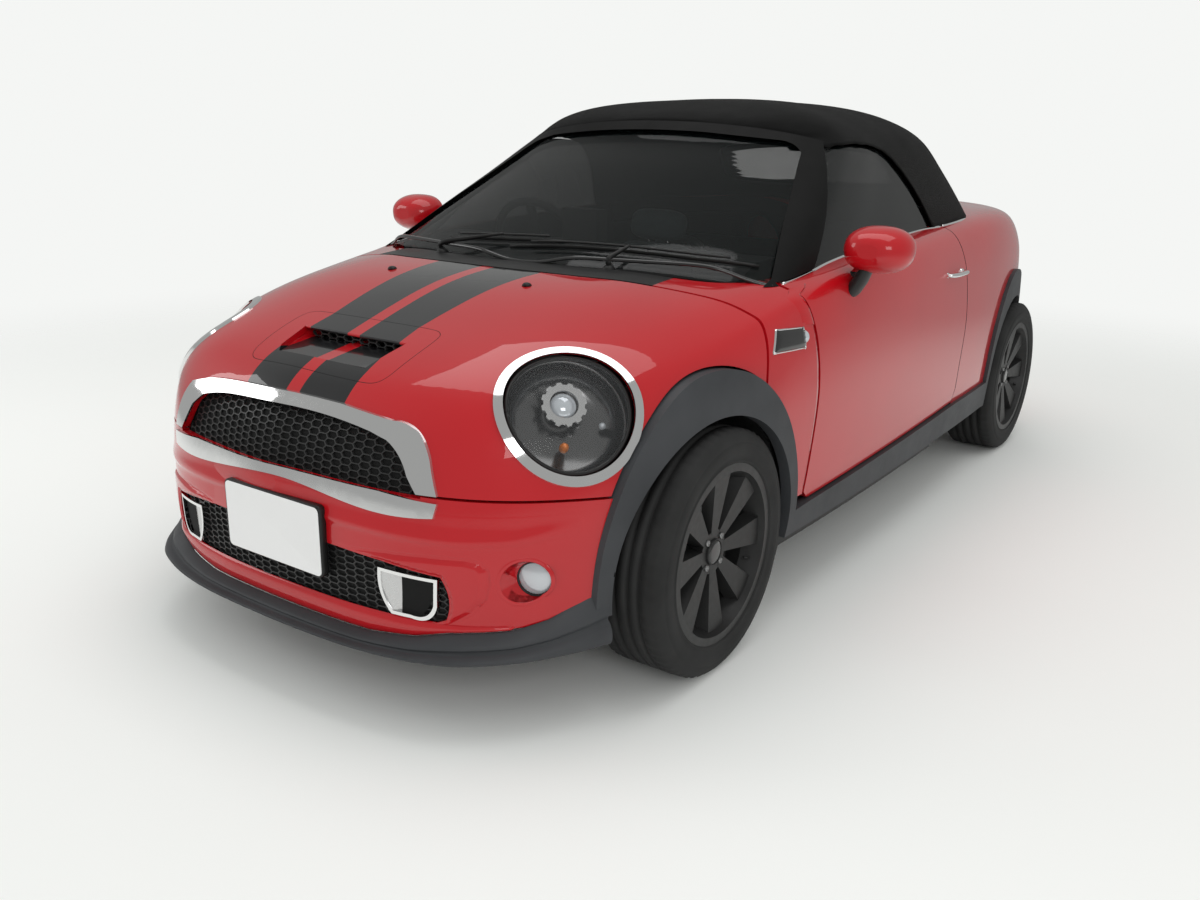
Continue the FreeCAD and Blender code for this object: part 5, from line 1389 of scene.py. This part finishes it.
def make_bumper_face():
    points = []
    index = {}
    for row in range(FACE_ROWS):
        for column in range(-FACE_COLUMNS + 1, FACE_COLUMNS):
            depth = FACE[row][abs(column)]
            if depth is None:
                continue
            x = FACE_STEP * column
            z = FACE_LOW + FACE_STEP * row
            blend = smooth_step((EDGE[row][abs(column)] - BLEND_START) / BLEND_WIDTH)
            rise = relief(abs(x), z) * blend - BURIED * (1 - blend)
            index[(row, column)] = len(points)
            points.append((x, depth - rise, z))
    faces = []
    for row, column in index:
        corners = [(row, column), (row, column + 1), (row + 1, column + 1), (row + 1, column)]
        middle_x = abs(FACE_STEP * (column + 0.5))
        middle_z = FACE_LOW + FACE_STEP * (row + 0.5)
        whole = all(corner in index for corner in corners)
        if whole and not inside_outline(BOWL_OUTLINE, middle_x, middle_z):
            faces.append(tuple(index[corner] for corner in corners))
    mesh, made = without_loose("bumper_face", points, faces)
    made.to_mesh(mesh)
    made.free()
    show("bumper_face", mesh, "car_body", "paint")


make_bumper_face()

# The black groove of the slit and round each duct pod
GROOVE_STEPS = 90
for side, sign in SIDES:
    groove = []
    for x, y, z in resampled([(x, 0.0, z) for x, z in POD_LINE[:-1]], GROOVE_STEPS):
        groove.append(Vector((x * sign, face_depth(x, z) + 0.0004, z)))
    strip("slit_line_" + side, groove, [Vector((sign * 0.2, -1, 0)).normalized()] * GROOVE_STEPS, 0.0022, 0.0006,
          "car_body", "shade_and_seam", sink=0.0004)

# Air scoop: its recess is cut out of a copy of the bonnet, and a tray carries the stripes through it
SCOOP_FRONT = -1.652
SCOOP_BACK = -1.500
SCOOP_LIP = -1.5458
SCOOP_TOP = 0.7986
SCOOP_ROUND = 0.007
SCOOP_ROWS = 31
SCOOP_FLOOR = [(-1.652, 0.757), (-1.545, 0.776), (-1.500, 0.780)]
SCOOP_WIDE = [(-1.652, 0.1496), (-1.63, 0.168), (-1.56, 0.1775), (-1.50, 0.172)]
SCOOP_SIDE = [
    (-1.652, 0.757), (-1.63, 0.7609), (-1.545, 0.776), (-1.500, 0.780), (-1.500, 0.798), (-1.5458, 0.7986),
    (-1.549, 0.90), (-1.63, 0.90), (-1.652, 0.90),
]
SCOOP_SEAM = [
    (0.0, -1.690), (0.09, -1.6895), (0.180, -1.687), (0.214, -1.680), (0.231, -1.662), (0.237, -1.63),
    (0.2405, -1.56), (0.2380, -1.505), (0.222, -1.483), (0.19, -1.476), (0.10, -1.4745), (0.0, -1.474),
]
LIP_HALF = 0.1772
LIP_WAY = Vector((0, -0.86, 0.5))


def scoop_row(y, closed):
    """A line across the scoop's tray, with rounded corners. Where it's closed, it runs just under the bonnet's skin."""
    wide = along_line(SCOOP_WIDE, y) + 0.0006
    floor = along_line(SCOOP_FLOOR, y)
    top = SCOOP_TOP if y > SCOOP_LIP else shoot_down("bonnet", wide, y)[0].z
    if closed:
        floor = top - 0.0008
    reach = min(SCOOP_ROUND, max(top - floor, 0.0) * 0.9)
    ring = []
    for sign in (-1, 1):
        half = [Vector((sign * wide, y, top - 0.0005))]
        for turn in range(6):
            bend = math.pi / 2 * turn / 5
            x = sign * (wide - reach * (1 - math.cos(bend)))
            half.append(Vector((x, y, floor + reach * (1 - math.sin(bend)))))
        half += [Vector((sign * (wide - SCOOP_ROUND) * share, y, floor)) for share in (0.8, 0.6, 0.4, 0.2)]
        ring += half if sign < 0 else [Vector((0, y, floor))] + list(reversed(half))
    return ring


def make_scoop():
    rings = [[Vector((sign * along_line(SCOOP_WIDE, y), y, z)) for y, z in SCOOP_SIDE] for sign in (-1, 1)]
    carved("bonnet_skin", "bonnet", [cutter_from("scoop_cutter", rings)], "bonnet", "striped")
    rings = [scoop_row(SCOOP_FRONT, True)]
    for step in range(SCOOP_ROWS + 1):
        rings.append(scoop_row(SCOOP_FRONT + (SCOOP_BACK - SCOOP_FRONT) * step / SCOOP_ROWS, False))
    open_skin("scoop_tray", rings, "striped", "bonnet")
    lip = []
    for step in range(41):
        x = LIP_HALF * (step / 20 - 1)
        lip.append(Vector((x, SCOOP_LIP, shoot_down("bonnet", x, SCOOP_LIP + 0.001)[0].z - 0.0030)))
    strip("scoop_lip", lip, [LIP_WAY] * 41, 0.0075, 0.0034, "bonnet", "striped", sink=0.0012)
    # Near-black back and roof inside the scoop's mouth: painted shade behind the mesh and under the lip
    back = [[Vector((x, SCOOP_BACK - 0.001, z)) for x in (-0.171, -0.06, 0.06, 0.171)] for z in (0.778, 0.788, 0.799)]
    open_skin("scoop_back", back, "shade_and_seam", "bonnet")
    roof = []
    for y in (SCOOP_LIP, -1.52, SCOOP_BACK):
        roof.append([Vector((x, y, SCOOP_TOP - 0.0008)) for x in (-0.176, -0.06, 0.06, 0.176)])
    open_skin("scoop_roof", roof, "shade_and_seam", "bonnet")
    whole = SCOOP_SEAM[:-1] + [(-x, y) for x, y in reversed(SCOOP_SEAM[1:])] + [SCOOP_SEAM[0]]
    seam = [shoot_down("bonnet", x, y) for x, y, z in resampled([(x, y, 0.0) for x, y in whole], 200)]
    strip("scoop_seam", [place for place, way in seam], [way for place, way in seam], 0.0022, 0.0005, "bonnet",
          "shade_and_seam", sink=0.0003)


make_scoop()

# Chin: a red band under the bumper and the grey lip in two tiers
CHIN_STEPS = 161
CHIN_PLAN = [
    (0.0, -1.8075), (0.12, -1.8055), (0.24, -1.7985), (0.36, -1.7800), (0.467, -1.7475), (0.522, -1.7180),
    (0.571, -1.6805), (0.614, -1.6360), (0.651, -1.5862), (0.683, -1.5330), (0.7045, -1.4830),
]
CHIN_LINE = [
    (0.0, 0.202), (0.28, 0.202), (0.40, 0.214), (0.48, 0.234), (0.59, 0.243), (0.64, 0.262), (0.68, 0.292),
    (0.70, 0.312), (0.716, 0.338),
]
LIP_LOW = [(0.0, 0.1766), (0.45, 0.1766), (0.60, 0.1800), (0.72, 0.186)]
LIP_PROFILE = [
    (0.0008, 1.0), (0.0034, 0.985), (0.008, 0.93), (0.016, 0.82), (0.0245, 0.68), (0.0300, 0.55), (0.0305, 0.49),
    (0.0250, 0.45), (0.0245, 0.41), (0.0385, 0.36), (0.0500, 0.27), (0.0555, 0.17), (0.0530, 0.07), (0.0430, 0.0),
    (0.0150, 0.004), (-0.020, 0.03),
]
BAND_HALF = 0.60
BAND_TOP = 0.2545
BAND_PROFILE = [
    (-0.0035, 0.0), (0.0004, 0.05), (0.0022, 0.14), (0.0050, 0.35), (0.0056, 0.60), (0.0040, 0.80), (0.0005, 0.95),
    (-0.0060, 1.04), (-0.020, 1.06),
]


def make_chin():
    guides = [(-x, y, 0.0) for x, y in reversed(CHIN_PLAN[1:])] + [(x, y, 0.0) for x, y in CHIN_PLAN]
    places = resampled(guides, CHIN_STEPS)
    band = []
    lip = []
    for i, place in enumerate(places):
        along = (places[min(i + 2, CHIN_STEPS - 1)] - places[max(i - 2, 0)]).normalized()
        way = Vector((along.y, -along.x, 0))
        aside = abs(place.x)
        top = along_line(CHIN_LINE, aside)
        low = along_line(LIP_LOW, aside)
        slim = 1 - 0.36 * smooth_step((aside - 0.45) / 0.27)
        if aside < BAND_HALF:
            tall = max(BAND_TOP - top, 0.006)
            inset = 0.0 if top < 0.2430 else -0.006
            band.append([
                place + way * (out + inset) + Vector((0, 0, BAND_TOP - tall * down - place.z))
                for out, down in BAND_PROFILE
            ])
        lip.append([
            place + way * (out * slim + (0.0018 if aside > 0.5 and share > 0.5 else 0.0))
            + Vector((0, 0, low + (top - low) * share - place.z))
            for out, share in LIP_PROFILE
        ])
    open_skin("bumper_band", band, "paint")
    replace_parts(open_skin("chin_lip", lip, "dark_trim"), "front_lip")


make_chin()

# Hood: one stretched sheet of cloth over its frame, with an opening for the rear window
HOOD_ROWS = 76
HOOD_COLUMNS = 61
HOOD_FRONT = -0.2330
HOOD_REAR = 1.1330
HOOD_AXIS = 0.955
HOOD_SIDE = 0.728
HOOD_EDGE = 0.968
HOOD_TURN = math.radians(0.4)
HOOD_BOWS = [-0.233, -0.02, 0.235, 0.49, 0.70, 1.133]
HOOD_SAG = 0.0035
HOOD_THICKNESS = 0.0025


def hood_spot(y, turn):
    """Where a ray in from outside meets the hood: the place, and whether it is the window."""
    out = Vector((math.cos(turn), 0, math.sin(turn)))
    for shift in (0.00013, 0.0009, -0.0008):
        origin = Vector((0, y + shift, HOOD_AXIS))
        found = []
        for name in ("soft_top", "rear_window"):
            spot, way = shoot(name, origin + out * 1.2, -out)
            if spot is not None and (spot - origin).dot(out) > 0.02:
                found.append(((spot - origin).length, name, spot))
        if found:
            reach, name, spot = max(found)
            return spot, name == "rear_window"
    return None, False


def hood_row(y):
    """Spots on the hood from its middle line to its left edge."""
    low = math.pi / 2
    turn = math.pi / 2
    while turn > 0.01:
        spot, window = hood_spot(y, turn)
        if spot is None or abs(spot.x) > HOOD_SIDE or spot.z < HOOD_EDGE:
            break
        low = turn
        turn -= HOOD_TURN
    row = []
    last = None
    for column in range(HOOD_COLUMNS):
        share = column / (HOOD_COLUMNS - 1)
        spot, window = hood_spot(y, math.pi / 2 - (math.pi / 2 - low) * share)
        last = spot if spot is not None else last
        row.append((last.copy(), window))
    return row


def make_hood():
    points = []
    windows = []
    wide = 2 * HOOD_COLUMNS - 1
    for row in range(HOOD_ROWS):
        half = hood_row(HOOD_FRONT + (HOOD_REAR - HOOD_FRONT) * row / (HOOD_ROWS - 1))
        for spot, window in [(flipped(spot, -1), window) for spot, window in reversed(half[1:])] + half:
            for fore, aft in zip(HOOD_BOWS, HOOD_BOWS[1:]):
                if fore <= spot.y <= aft and not window and spot.z > 1.2:
                    sag = math.sin(math.pi * (spot.y - fore) / (aft - fore)) ** 2
                    spot.z -= HOOD_SAG * sag * smooth_step((0.66 - abs(spot.x)) / 0.2)
            points.append(spot)
            windows.append(window)
    faces = []
    for row in range(HOOD_ROWS - 1):
        for column in range(wide - 1):
            first = row * wide + column
            corners = (first, first + 1, first + wide + 1, first + wide)
            if not all(windows[corner] for corner in corners):
                faces.append(corners)
    mesh, made = without_loose("hood_cloth", points, faces)
    bmesh.ops.recalc_face_normals(made, faces=made.faces)
    for _ in range(3):
        inner = [v for v in made.verts if not v.is_boundary]
        bmesh.ops.smooth_vert(made, verts=inner, factor=0.5, use_axis_x=True, use_axis_y=True, use_axis_z=True)
    made.normal_update()
    if sum(f.normal.z * f.calc_area() for f in made.faces) < 0:
        bmesh.ops.reverse_faces(made, faces=made.faces)
    made.to_mesh(mesh)
    made.free()
    hood = show("hood_cloth", mesh, "car_body", "hood")
    thick = hood.modifiers.new("thickness", "SOLIDIFY")
    thick.thickness = HOOD_THICKNESS
    thick.offset = -1.0
    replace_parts(hood, "soft_top")
    return hood


hood = make_hood()

# Seats, their headrests and the shelf with two roll hoops behind them
PAD_STEPS = 26
PAD_PINCH = 0.03
CHANNEL_HALF = 0.008
SEAT_MIDDLE = 0.36
SEAT_LEAN = math.radians(70)
CUSHION_LEAN = math.radians(7)
HEADREST_LEAN = math.radians(78)
BOLSTER_ASIDE = 0.205
CUSHION_CHANNELS = [(1, -0.09, 0.006), (1, 0.0, 0.006), (1, 0.09, 0.006)]
BACK_CHANNELS = [(1, -0.10, 0.006), (1, 0.0, 0.006), (1, 0.10, 0.006), (0, -0.12, 0.005), (0, 0.12, 0.005)]
BASE_LEVELS = ((0.2075, 0.0), (0.215, 0.006), (0.30, 0.004), (0.330, -0.004))


def pad_point(a, b, c, half, crown, channels, sharp):
    """A cube's point pulled into a stuffed pad. The pad's crowned face is +z."""
    size = (abs(a) ** sharp + abs(b) ** sharp + abs(c) ** sharp) ** (1 / sharp)
    x, y, z = a / size, b / size, c / size
    x *= 1 - PAD_PINCH * (1 - y * y)
    y *= 1 - PAD_PINCH * (1 - x * x)
    point = Vector((x * half[0], y * half[1], z * half[2]))
    if z > 0:
        point.z += crown * (1 - x * x) * (1 - y * y) * z
        for axis, line, deep in channels:
            gap = point[axis] - line
            point.z -= deep * math.exp(-(gap / CHANNEL_HALF) ** 2) * smooth_step((z - 0.5) / 0.3)
    return point


def pad(name, middle, half, lean, crown, channels=(), sharp=5.0):
    """A stuffed pad with a crowned face, sides that pull in between its corners, and sewn channels."""
    made = bmesh.new()
    spots = {}
    for axis in range(3):
        for side in (-1.0, 1.0):
            for i in range(PAD_STEPS):
                for j in range(PAD_STEPS):
                    corners = []
                    for a, b in ((i, j), (i + 1, j), (i + 1, j + 1), (i, j + 1)):
                        cube = [0.0, 0.0, 0.0]
                        cube[axis] = side
                        cube[(axis + 1) % 3] = a / PAD_STEPS * 2 - 1
                        cube[(axis + 2) % 3] = b / PAD_STEPS * 2 - 1
                        key = tuple(round(value, 6) for value in cube)
                        if key not in spots:
                            spots[key] = made.verts.new(pad_point(*cube, half, crown, channels, sharp))
                        corners.append(spots[key])
                    made.faces.new(corners)
    bmesh.ops.recalc_face_normals(made, faces=made.faces)
    turn = Matrix.Rotation(lean, 4, "X")
    for v in made.verts:
        v.co = turn @ v.co + Vector(middle)
    mesh = bpy.data.meshes.new(name)
    made.to_mesh(mesh)
    made.free()
    piece = show(name, mesh, "car_body", "seat")
    return piece


def make_seat(side, sign):
    x = SEAT_MIDDLE * sign
    cushion = pad("seat_cushion_" + side, (x, 0.045, 0.385), (0.185, 0.215, 0.060), CUSHION_LEAN, 0.018,
                  CUSHION_CHANNELS)
    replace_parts(cushion, "seat_" + side)
    pad("seat_back_" + side, (x, 0.300, 0.620), (0.190, 0.245, 0.055), SEAT_LEAN, 0.020, BACK_CHANNELS)
    for edge, shift in (("inner", -1), ("outer", 1)):
        out = x + sign * shift * BOLSTER_ASIDE
        pad("seat_bolster_%s_%s" % (edge, side), (out, 0.265, 0.585), (0.032, 0.190, 0.052), SEAT_LEAN, 0.008,
            sharp=3.5)
        pad("cushion_bolster_%s_%s" % (edge, side), (out, 0.040, 0.405), (0.030, 0.190, 0.048), CUSHION_LEAN, 0.008,
            sharp=3.5)
    pad("seat_headrest_" + side, (x, 0.372, 0.920), (0.125, 0.062, 0.042), HEADREST_LEAN, 0.012, sharp=3.2)
    for edge in (-0.045, 0.045):
        bar("headrest_post_%s_%d" % (side, int(edge > 0)), [(x + edge, 0.368, 0.80), (x + edge, 0.372, 0.90)],
            [0.006, 0.006], "car_body", "chrome")
    base = []
    for z, grow in BASE_LEVELS:
        ring = []
        for turn in turns(40):
            reach = (abs(math.cos(turn)) ** 6 + abs(math.sin(turn)) ** 6) ** (-1 / 6)
            aside = math.cos(turn) * reach * (0.165 + grow)
            ring.append(Vector((x + aside, 0.045 + math.sin(turn) * reach * (0.185 + grow), z)))
        base.append(ring)
    from_rings("seat_base_" + side, base, "car_body", "dash")


for side, sign in SIDES:
    make_seat(side, sign)

SHELF_HALF = 0.53
SHELF_FOOT = 0.212
SHELF_PROFILE = [
    (0.50, 0.212), (0.475, 0.30), (0.468, 0.55), (0.475, 0.655), (0.492, 0.682), (0.53, 0.692), (0.70, 0.700),
    (0.88, 0.700), (0.93, 0.685), (0.945, 0.64), (0.945, 0.30), (0.93, 0.212),
]
HOOP_STEPS = 32
HOOP_RADIUS = 0.0165


def make_shelf():
    rings = []
    for step in range(41):
        x = SHELF_HALF * (step / 20 - 1)
        taper = 1 - 0.12 * smooth_step((abs(x) - 0.40) / 0.13)
        rings.append([Vector((x, y, SHELF_FOOT + (z - SHELF_FOOT) * taper)) for y, z in SHELF_PROFILE])
    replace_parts(from_rings("rear_shelf", rings, "car_body", "dash"), "rear_bench")
    for side, sign in SIDES:
        points = []
        for step in range(HOOP_STEPS + 1):
            turn = math.pi * step / HOOP_STEPS
            flat = abs(math.cos(turn)) ** 0.55 * (1 if math.cos(turn) > 0 else -1)
            rise = math.sin(turn)
            points.append((sign * SEAT_MIDDLE + 0.125 * flat, 0.545 - 0.02 * rise, 0.690 + 0.165 * rise ** 0.6))
        bar("roll_hoop_" + side, points, [HOOP_RADIUS] * len(points), "car_body", "steel", sides=16, up=(0, 1, 0))


make_shelf()

# Rims round the rear window and the tail lamps
WINDOW_SPOT = Vector((0, 0.935, 1.170))
WINDOW_NORMAL = Vector((0, 0.673, 0.740)).normalized()
WINDOW_UP = Vector((0, -0.740, 0.673)).normalized()
TAIL_SPOT = Vector((0.5555, 1.7503, 0.7417))
TAIL_WAY = Vector((0.49, 0.845, 0.16)).normalized()


def outline_of(node_name, middle, normal, aside, up, count, reach=0.6):
    """The edge of a CAD node as seen along a line, round a point on it."""
    places = []
    ways = []
    for turn in turns(count):
        out = aside * math.cos(turn) + up * math.sin(turn)
        low, high = 0.0, reach
        spot, way = middle, normal
        for _ in range(15):
            trial = (low + high) / 2
            hit, face = shoot(node_name, middle + out * trial + normal * 0.5, -normal)
            if hit is not None and face.dot(normal) > 0.25 and (hit - middle).dot(normal) > -0.30:
                low, spot, way = trial, hit, face
            else:
                high = trial
        places.append(spot)
        ways.append(way)
    return places, ways


places, ways = outline_of("rear_window", WINDOW_SPOT, WINDOW_NORMAL, Vector((1, 0, 0)), WINDOW_UP, 96)
loop_strip("rear_window_rim", places, ways, 0.034, 0.0045, "black_trim", sink=0.0015)
for side, sign in SIDES:
    way = flipped(TAIL_WAY, sign)
    level = way.cross(UP).normalized()
    places, ways = outline_of("tail_lamps", flipped(TAIL_SPOT, sign), way, level, level.cross(way), 72, reach=0.2)
    loop_strip("tail_lamp_rim_" + side, places, ways, 0.012, 0.0045, "chrome")

# Silver inner walls of the front ducts, and near-black floors that are painted shade deep in them
DUCT_ROWS = 12
DUCT_COLUMNS = 16
DUCT_WALL = 6
DUCT_PLATE = -1.765


def make_duct(side, sign):
    rings = []
    for row in range(DUCT_ROWS + 1):
        share = row / DUCT_ROWS
        z = 0.263 + 0.094 * share
        left = 0.322 + 0.014 * (1 - share) ** 2
        right = 0.450 - 0.036 * (1 - share) ** 2
        ring = []
        for column in range(DUCT_COLUMNS + 1):
            t = column / DUCT_COLUMNS
            x = left + (right - left) * t
            base = plate_depth(x, z)
            base = base if base is not None else DUCT_PLATE
            deep = 0.0135 - 0.0062 * smooth_step((t - 0.20) / 0.16)
            ring.append(Vector((x * sign, base - deep, z)))
        rings.append(ring)
    open_skin("duct_wall_" + side, [ring[:DUCT_WALL + 1] for ring in rings], "silver")
    # The floor's near-black is painted shade
    open_skin("duct_floor_" + side, [ring[DUCT_WALL:] for ring in rings], "shade_and_seam")


for side, sign in SIDES:
    make_duct(side, sign)

# Fender shoulders over the hinge slot's top, and the mirrors' black feet
SHOULDER_LOW = 0.806
SHOULDER_HIGH = 0.902
SHOULDER_ROWS = 16
MIRROR_FOOT = [
    (0.792, -0.462, 0.852), (0.812, -0.463, 0.872), (0.830, -0.465, 0.898), (0.846, -0.468, 0.928),
    (0.860, -0.470, 0.952),
]
MIRROR_FOOT_RADII = [0.034, 0.037, 0.035, 0.031, 0.026]


def make_shoulder(side, sign):
    rings = []
    for step in range(SHOULDER_ROWS + 1):
        z = SHOULDER_LOW + (SHOULDER_HIGH - SHOULDER_LOW) * step / SHOULDER_ROWS
        spot = side_hit("door_" + side, door_front(z, sign) + 0.004, z, sign)
        if spot is None:
            continue
        start = spot + Vector((0, -0.011, 0))
        far, way = on_skin(["scuttle_panels"], spot + Vector((-sign * 0.012, -0.062, 0.004)))
        bend = start.lerp(far, 0.5) + Vector((sign * 0.004, 0, 0.002))
        ring = [start - Vector((sign * 0.0030, 0.0, 0.0010))]
        for column in range(11):
            t = column / 10
            ring.append(start * (1 - t) ** 2 + bend * (2 * t * (1 - t)) + far * t * t + way * (0.0004 - 0.0008 * t))
        rings.append(ring)
    open_skin("fender_shoulder_" + side, rings, "paint")


for side, sign in SIDES:
    make_shoulder(side, sign)
    bar("mirror_foot_" + side, [flipped(point, sign) for point in MIRROR_FOOT], MIRROR_FOOT_RADII, "door_" + side,
        "black_trim", sides=28, flat=0.55, up=(sign, 0, 0))

# The bare plate with rounded corners on its black holder, and the joint line of the front flares
PLATE_MIDDLE = Vector((0.0, 0.0, 0.3906))
HOLDER_LEVELS = [(-1.8030, 0.004), (-1.8050, 0.0), (-1.8205, 0.0), (-1.8225, 0.002)]
PLATE_LEVELS = [(-1.8215, 0.0), (-1.8235, 0.0), (-1.8240, 0.0010), (-1.8237, 0.0028), (-1.8235, 0.0034)]
FLARE_JOINT = [(0.706, -1.512, 0.338), (0.728, -1.470, 0.343), (0.744, -1.435, 0.346)]


def rounded_slab(name, width, height, corner, levels, look):
    """A flat plate with rounded corners that faces forward. Its levels are (y, inset)."""
    rings = []
    for y, inset in levels:
        ring = []
        for turn in range(4):
            out_x = (width / 2 - corner) * (1 if turn in (0, 3) else -1)
            out_z = (height / 2 - corner) * (1 if turn in (0, 1) else -1)
            reach = corner - inset
            for step in range(7):
                angle = math.pi / 2 * (turn + step / 6)
                spot = Vector((out_x + reach * math.cos(angle), y, out_z + reach * math.sin(angle)))
                ring.append(PLATE_MIDDLE + spot)
        rings.append(ring)
    return from_rings(name, rings, "car_body", look)


rounded_slab("plate_holder", 0.3400, 0.1715, 0.015, HOLDER_LEVELS, "black_trim")
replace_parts(rounded_slab("plate_face", 0.3300, 0.1640, 0.013, PLATE_LEVELS, "plate"), "number_plate")
for side, sign in SIDES:
    moulding("flare_joint_" + side, ["wheel_flares"], [flipped(point, sign) for point in FLARE_JOINT], 0.0028, 0.0007,
             "car_body", "shade_and_seam", count=24)

# Camera, at the photograph's place. Its axes come from its heading, pitch and roll.
CAMERA_PLACE = Vector((1.9402, -3.257, 1.2895))
CAMERA_HEADING = math.radians(35.28)
CAMERA_PITCH = math.radians(16.97)
CAMERA_ROLL = math.radians(0.97)
CAMERA_LENS = 31.82
camera_data = bpy.data.cameras.new("camera")
camera_data.lens = CAMERA_LENS
camera_data.sensor_width = 36.0
camera = linked("camera", camera_data)
ahead = Vector((
    -math.sin(CAMERA_HEADING) * math.cos(CAMERA_PITCH),
    math.cos(CAMERA_HEADING) * math.cos(CAMERA_PITCH),
    -math.sin(CAMERA_PITCH),
))
level = ahead.cross(UP).normalized()
upright = level.cross(ahead)
right = level * math.cos(CAMERA_ROLL) + upright * math.sin(CAMERA_ROLL)
above = upright * math.cos(CAMERA_ROLL) - level * math.sin(CAMERA_ROLL)
camera.matrix_world = Matrix((
    (right.x, above.x, -ahead.x, CAMERA_PLACE.x),
    (right.y, above.y, -ahead.y, CAMERA_PLACE.y),
    (right.z, above.z, -ahead.z, CAMERA_PLACE.z),
    (0, 0, 0, 1),
))
bpy.context.scene.camera = camera

# Floor, world and studio lamps
bpy.context.scene.view_settings.view_transform = "Standard"
PALE = (0.91, 0.92, 0.905)
FLOOR_FADE = (2.4, 6.0)
FLOOR_REACH = 40.0
AMBIENT = 0.8
MIRRORED = 0.42


def studio_strength(tree):
    """Full strength for rays from the camera and through glass, and softer light for mirror and other rays."""
    path = node(tree, "ShaderNodeLightPath")
    seen = arithmetic(tree, "MAXIMUM", path.outputs["Is Camera Ray"], path.outputs["Is Transmission Ray"])
    direct = spread(tree, seen, AMBIENT, 1.0)
    mirrored = arithmetic(tree, "MULTIPLY", path.outputs["Is Glossy Ray"], MIRRORED - AMBIENT)
    return arithmetic(tree, "ADD", direct, mirrored)


def make_world():
    world = bpy.data.worlds.new("studio")
    bpy.context.scene.world = world
    world.use_nodes = True
    tree = world.node_tree
    background = tree.nodes["Background"]
    background.inputs["Color"].default_value = PALE + (1.0,)
    wire(tree, studio_strength(tree), background.inputs["Strength"])


def make_floor():
    mesh = bpy.data.meshes.new("floor")
    corners = [(x * FLOOR_REACH, y * FLOOR_REACH, 0) for x, y in ((-1, -1), (1, -1), (1, 1), (-1, 1))]
    mesh.from_pydata(corners, [], [(0, 1, 2, 3)])
    floor = linked("floor", mesh)
    material, tree, shader = new_material("floor")
    put(shader, base_color=PALE, roughness=0.95, specular_ior_level=0.0)
    distance = node(tree, "ShaderNodeVectorMath", operation="LENGTH")
    wire(tree, coordinates(tree), distance.inputs[0])
    fade = node(tree, "ShaderNodeMapRange", interpolation_type="SMOOTHSTEP", in_From_Min=FLOOR_FADE[0])
    fade.inputs["From Max"].default_value = FLOOR_FADE[1]
    fade.inputs["To Min"].default_value = 1.0
    fade.inputs["To Max"].default_value = 0.0
    wire(tree, distance.outputs["Value"], fade.inputs["Value"])
    wire(tree, fade.outputs["Result"], shader.inputs["Alpha"])
    mesh.materials.append(material)


def make_lamp(name, place, target, width, height, power):
    """A soft rectangular lamp that faces a point."""
    data = bpy.data.lights.new(name, "AREA")
    data.shape = "RECTANGLE"
    data.size = width
    data.size_y = height
    data.energy = power
    lamp = linked(name, data)
    lamp.location = place
    lamp.rotation_mode = "QUATERNION"
    lamp.rotation_quaternion = (Vector(target) - Vector(place)).to_track_quat("-Z", "Y")


make_world()
make_floor()
make_lamp("overhead", (0, -0.4, 4.6), (0, 0, 0), 5.0, 2.6, 60)
make_lamp("front_left", (4.0, -4.2, 2.6), (0, -0.6, 0.5), 2.4, 1.6, 40)
make_lamp("front_right", (-4.5, -3.4, 2.4), (0, -0.6, 0.5), 2.0, 2.0, 30)
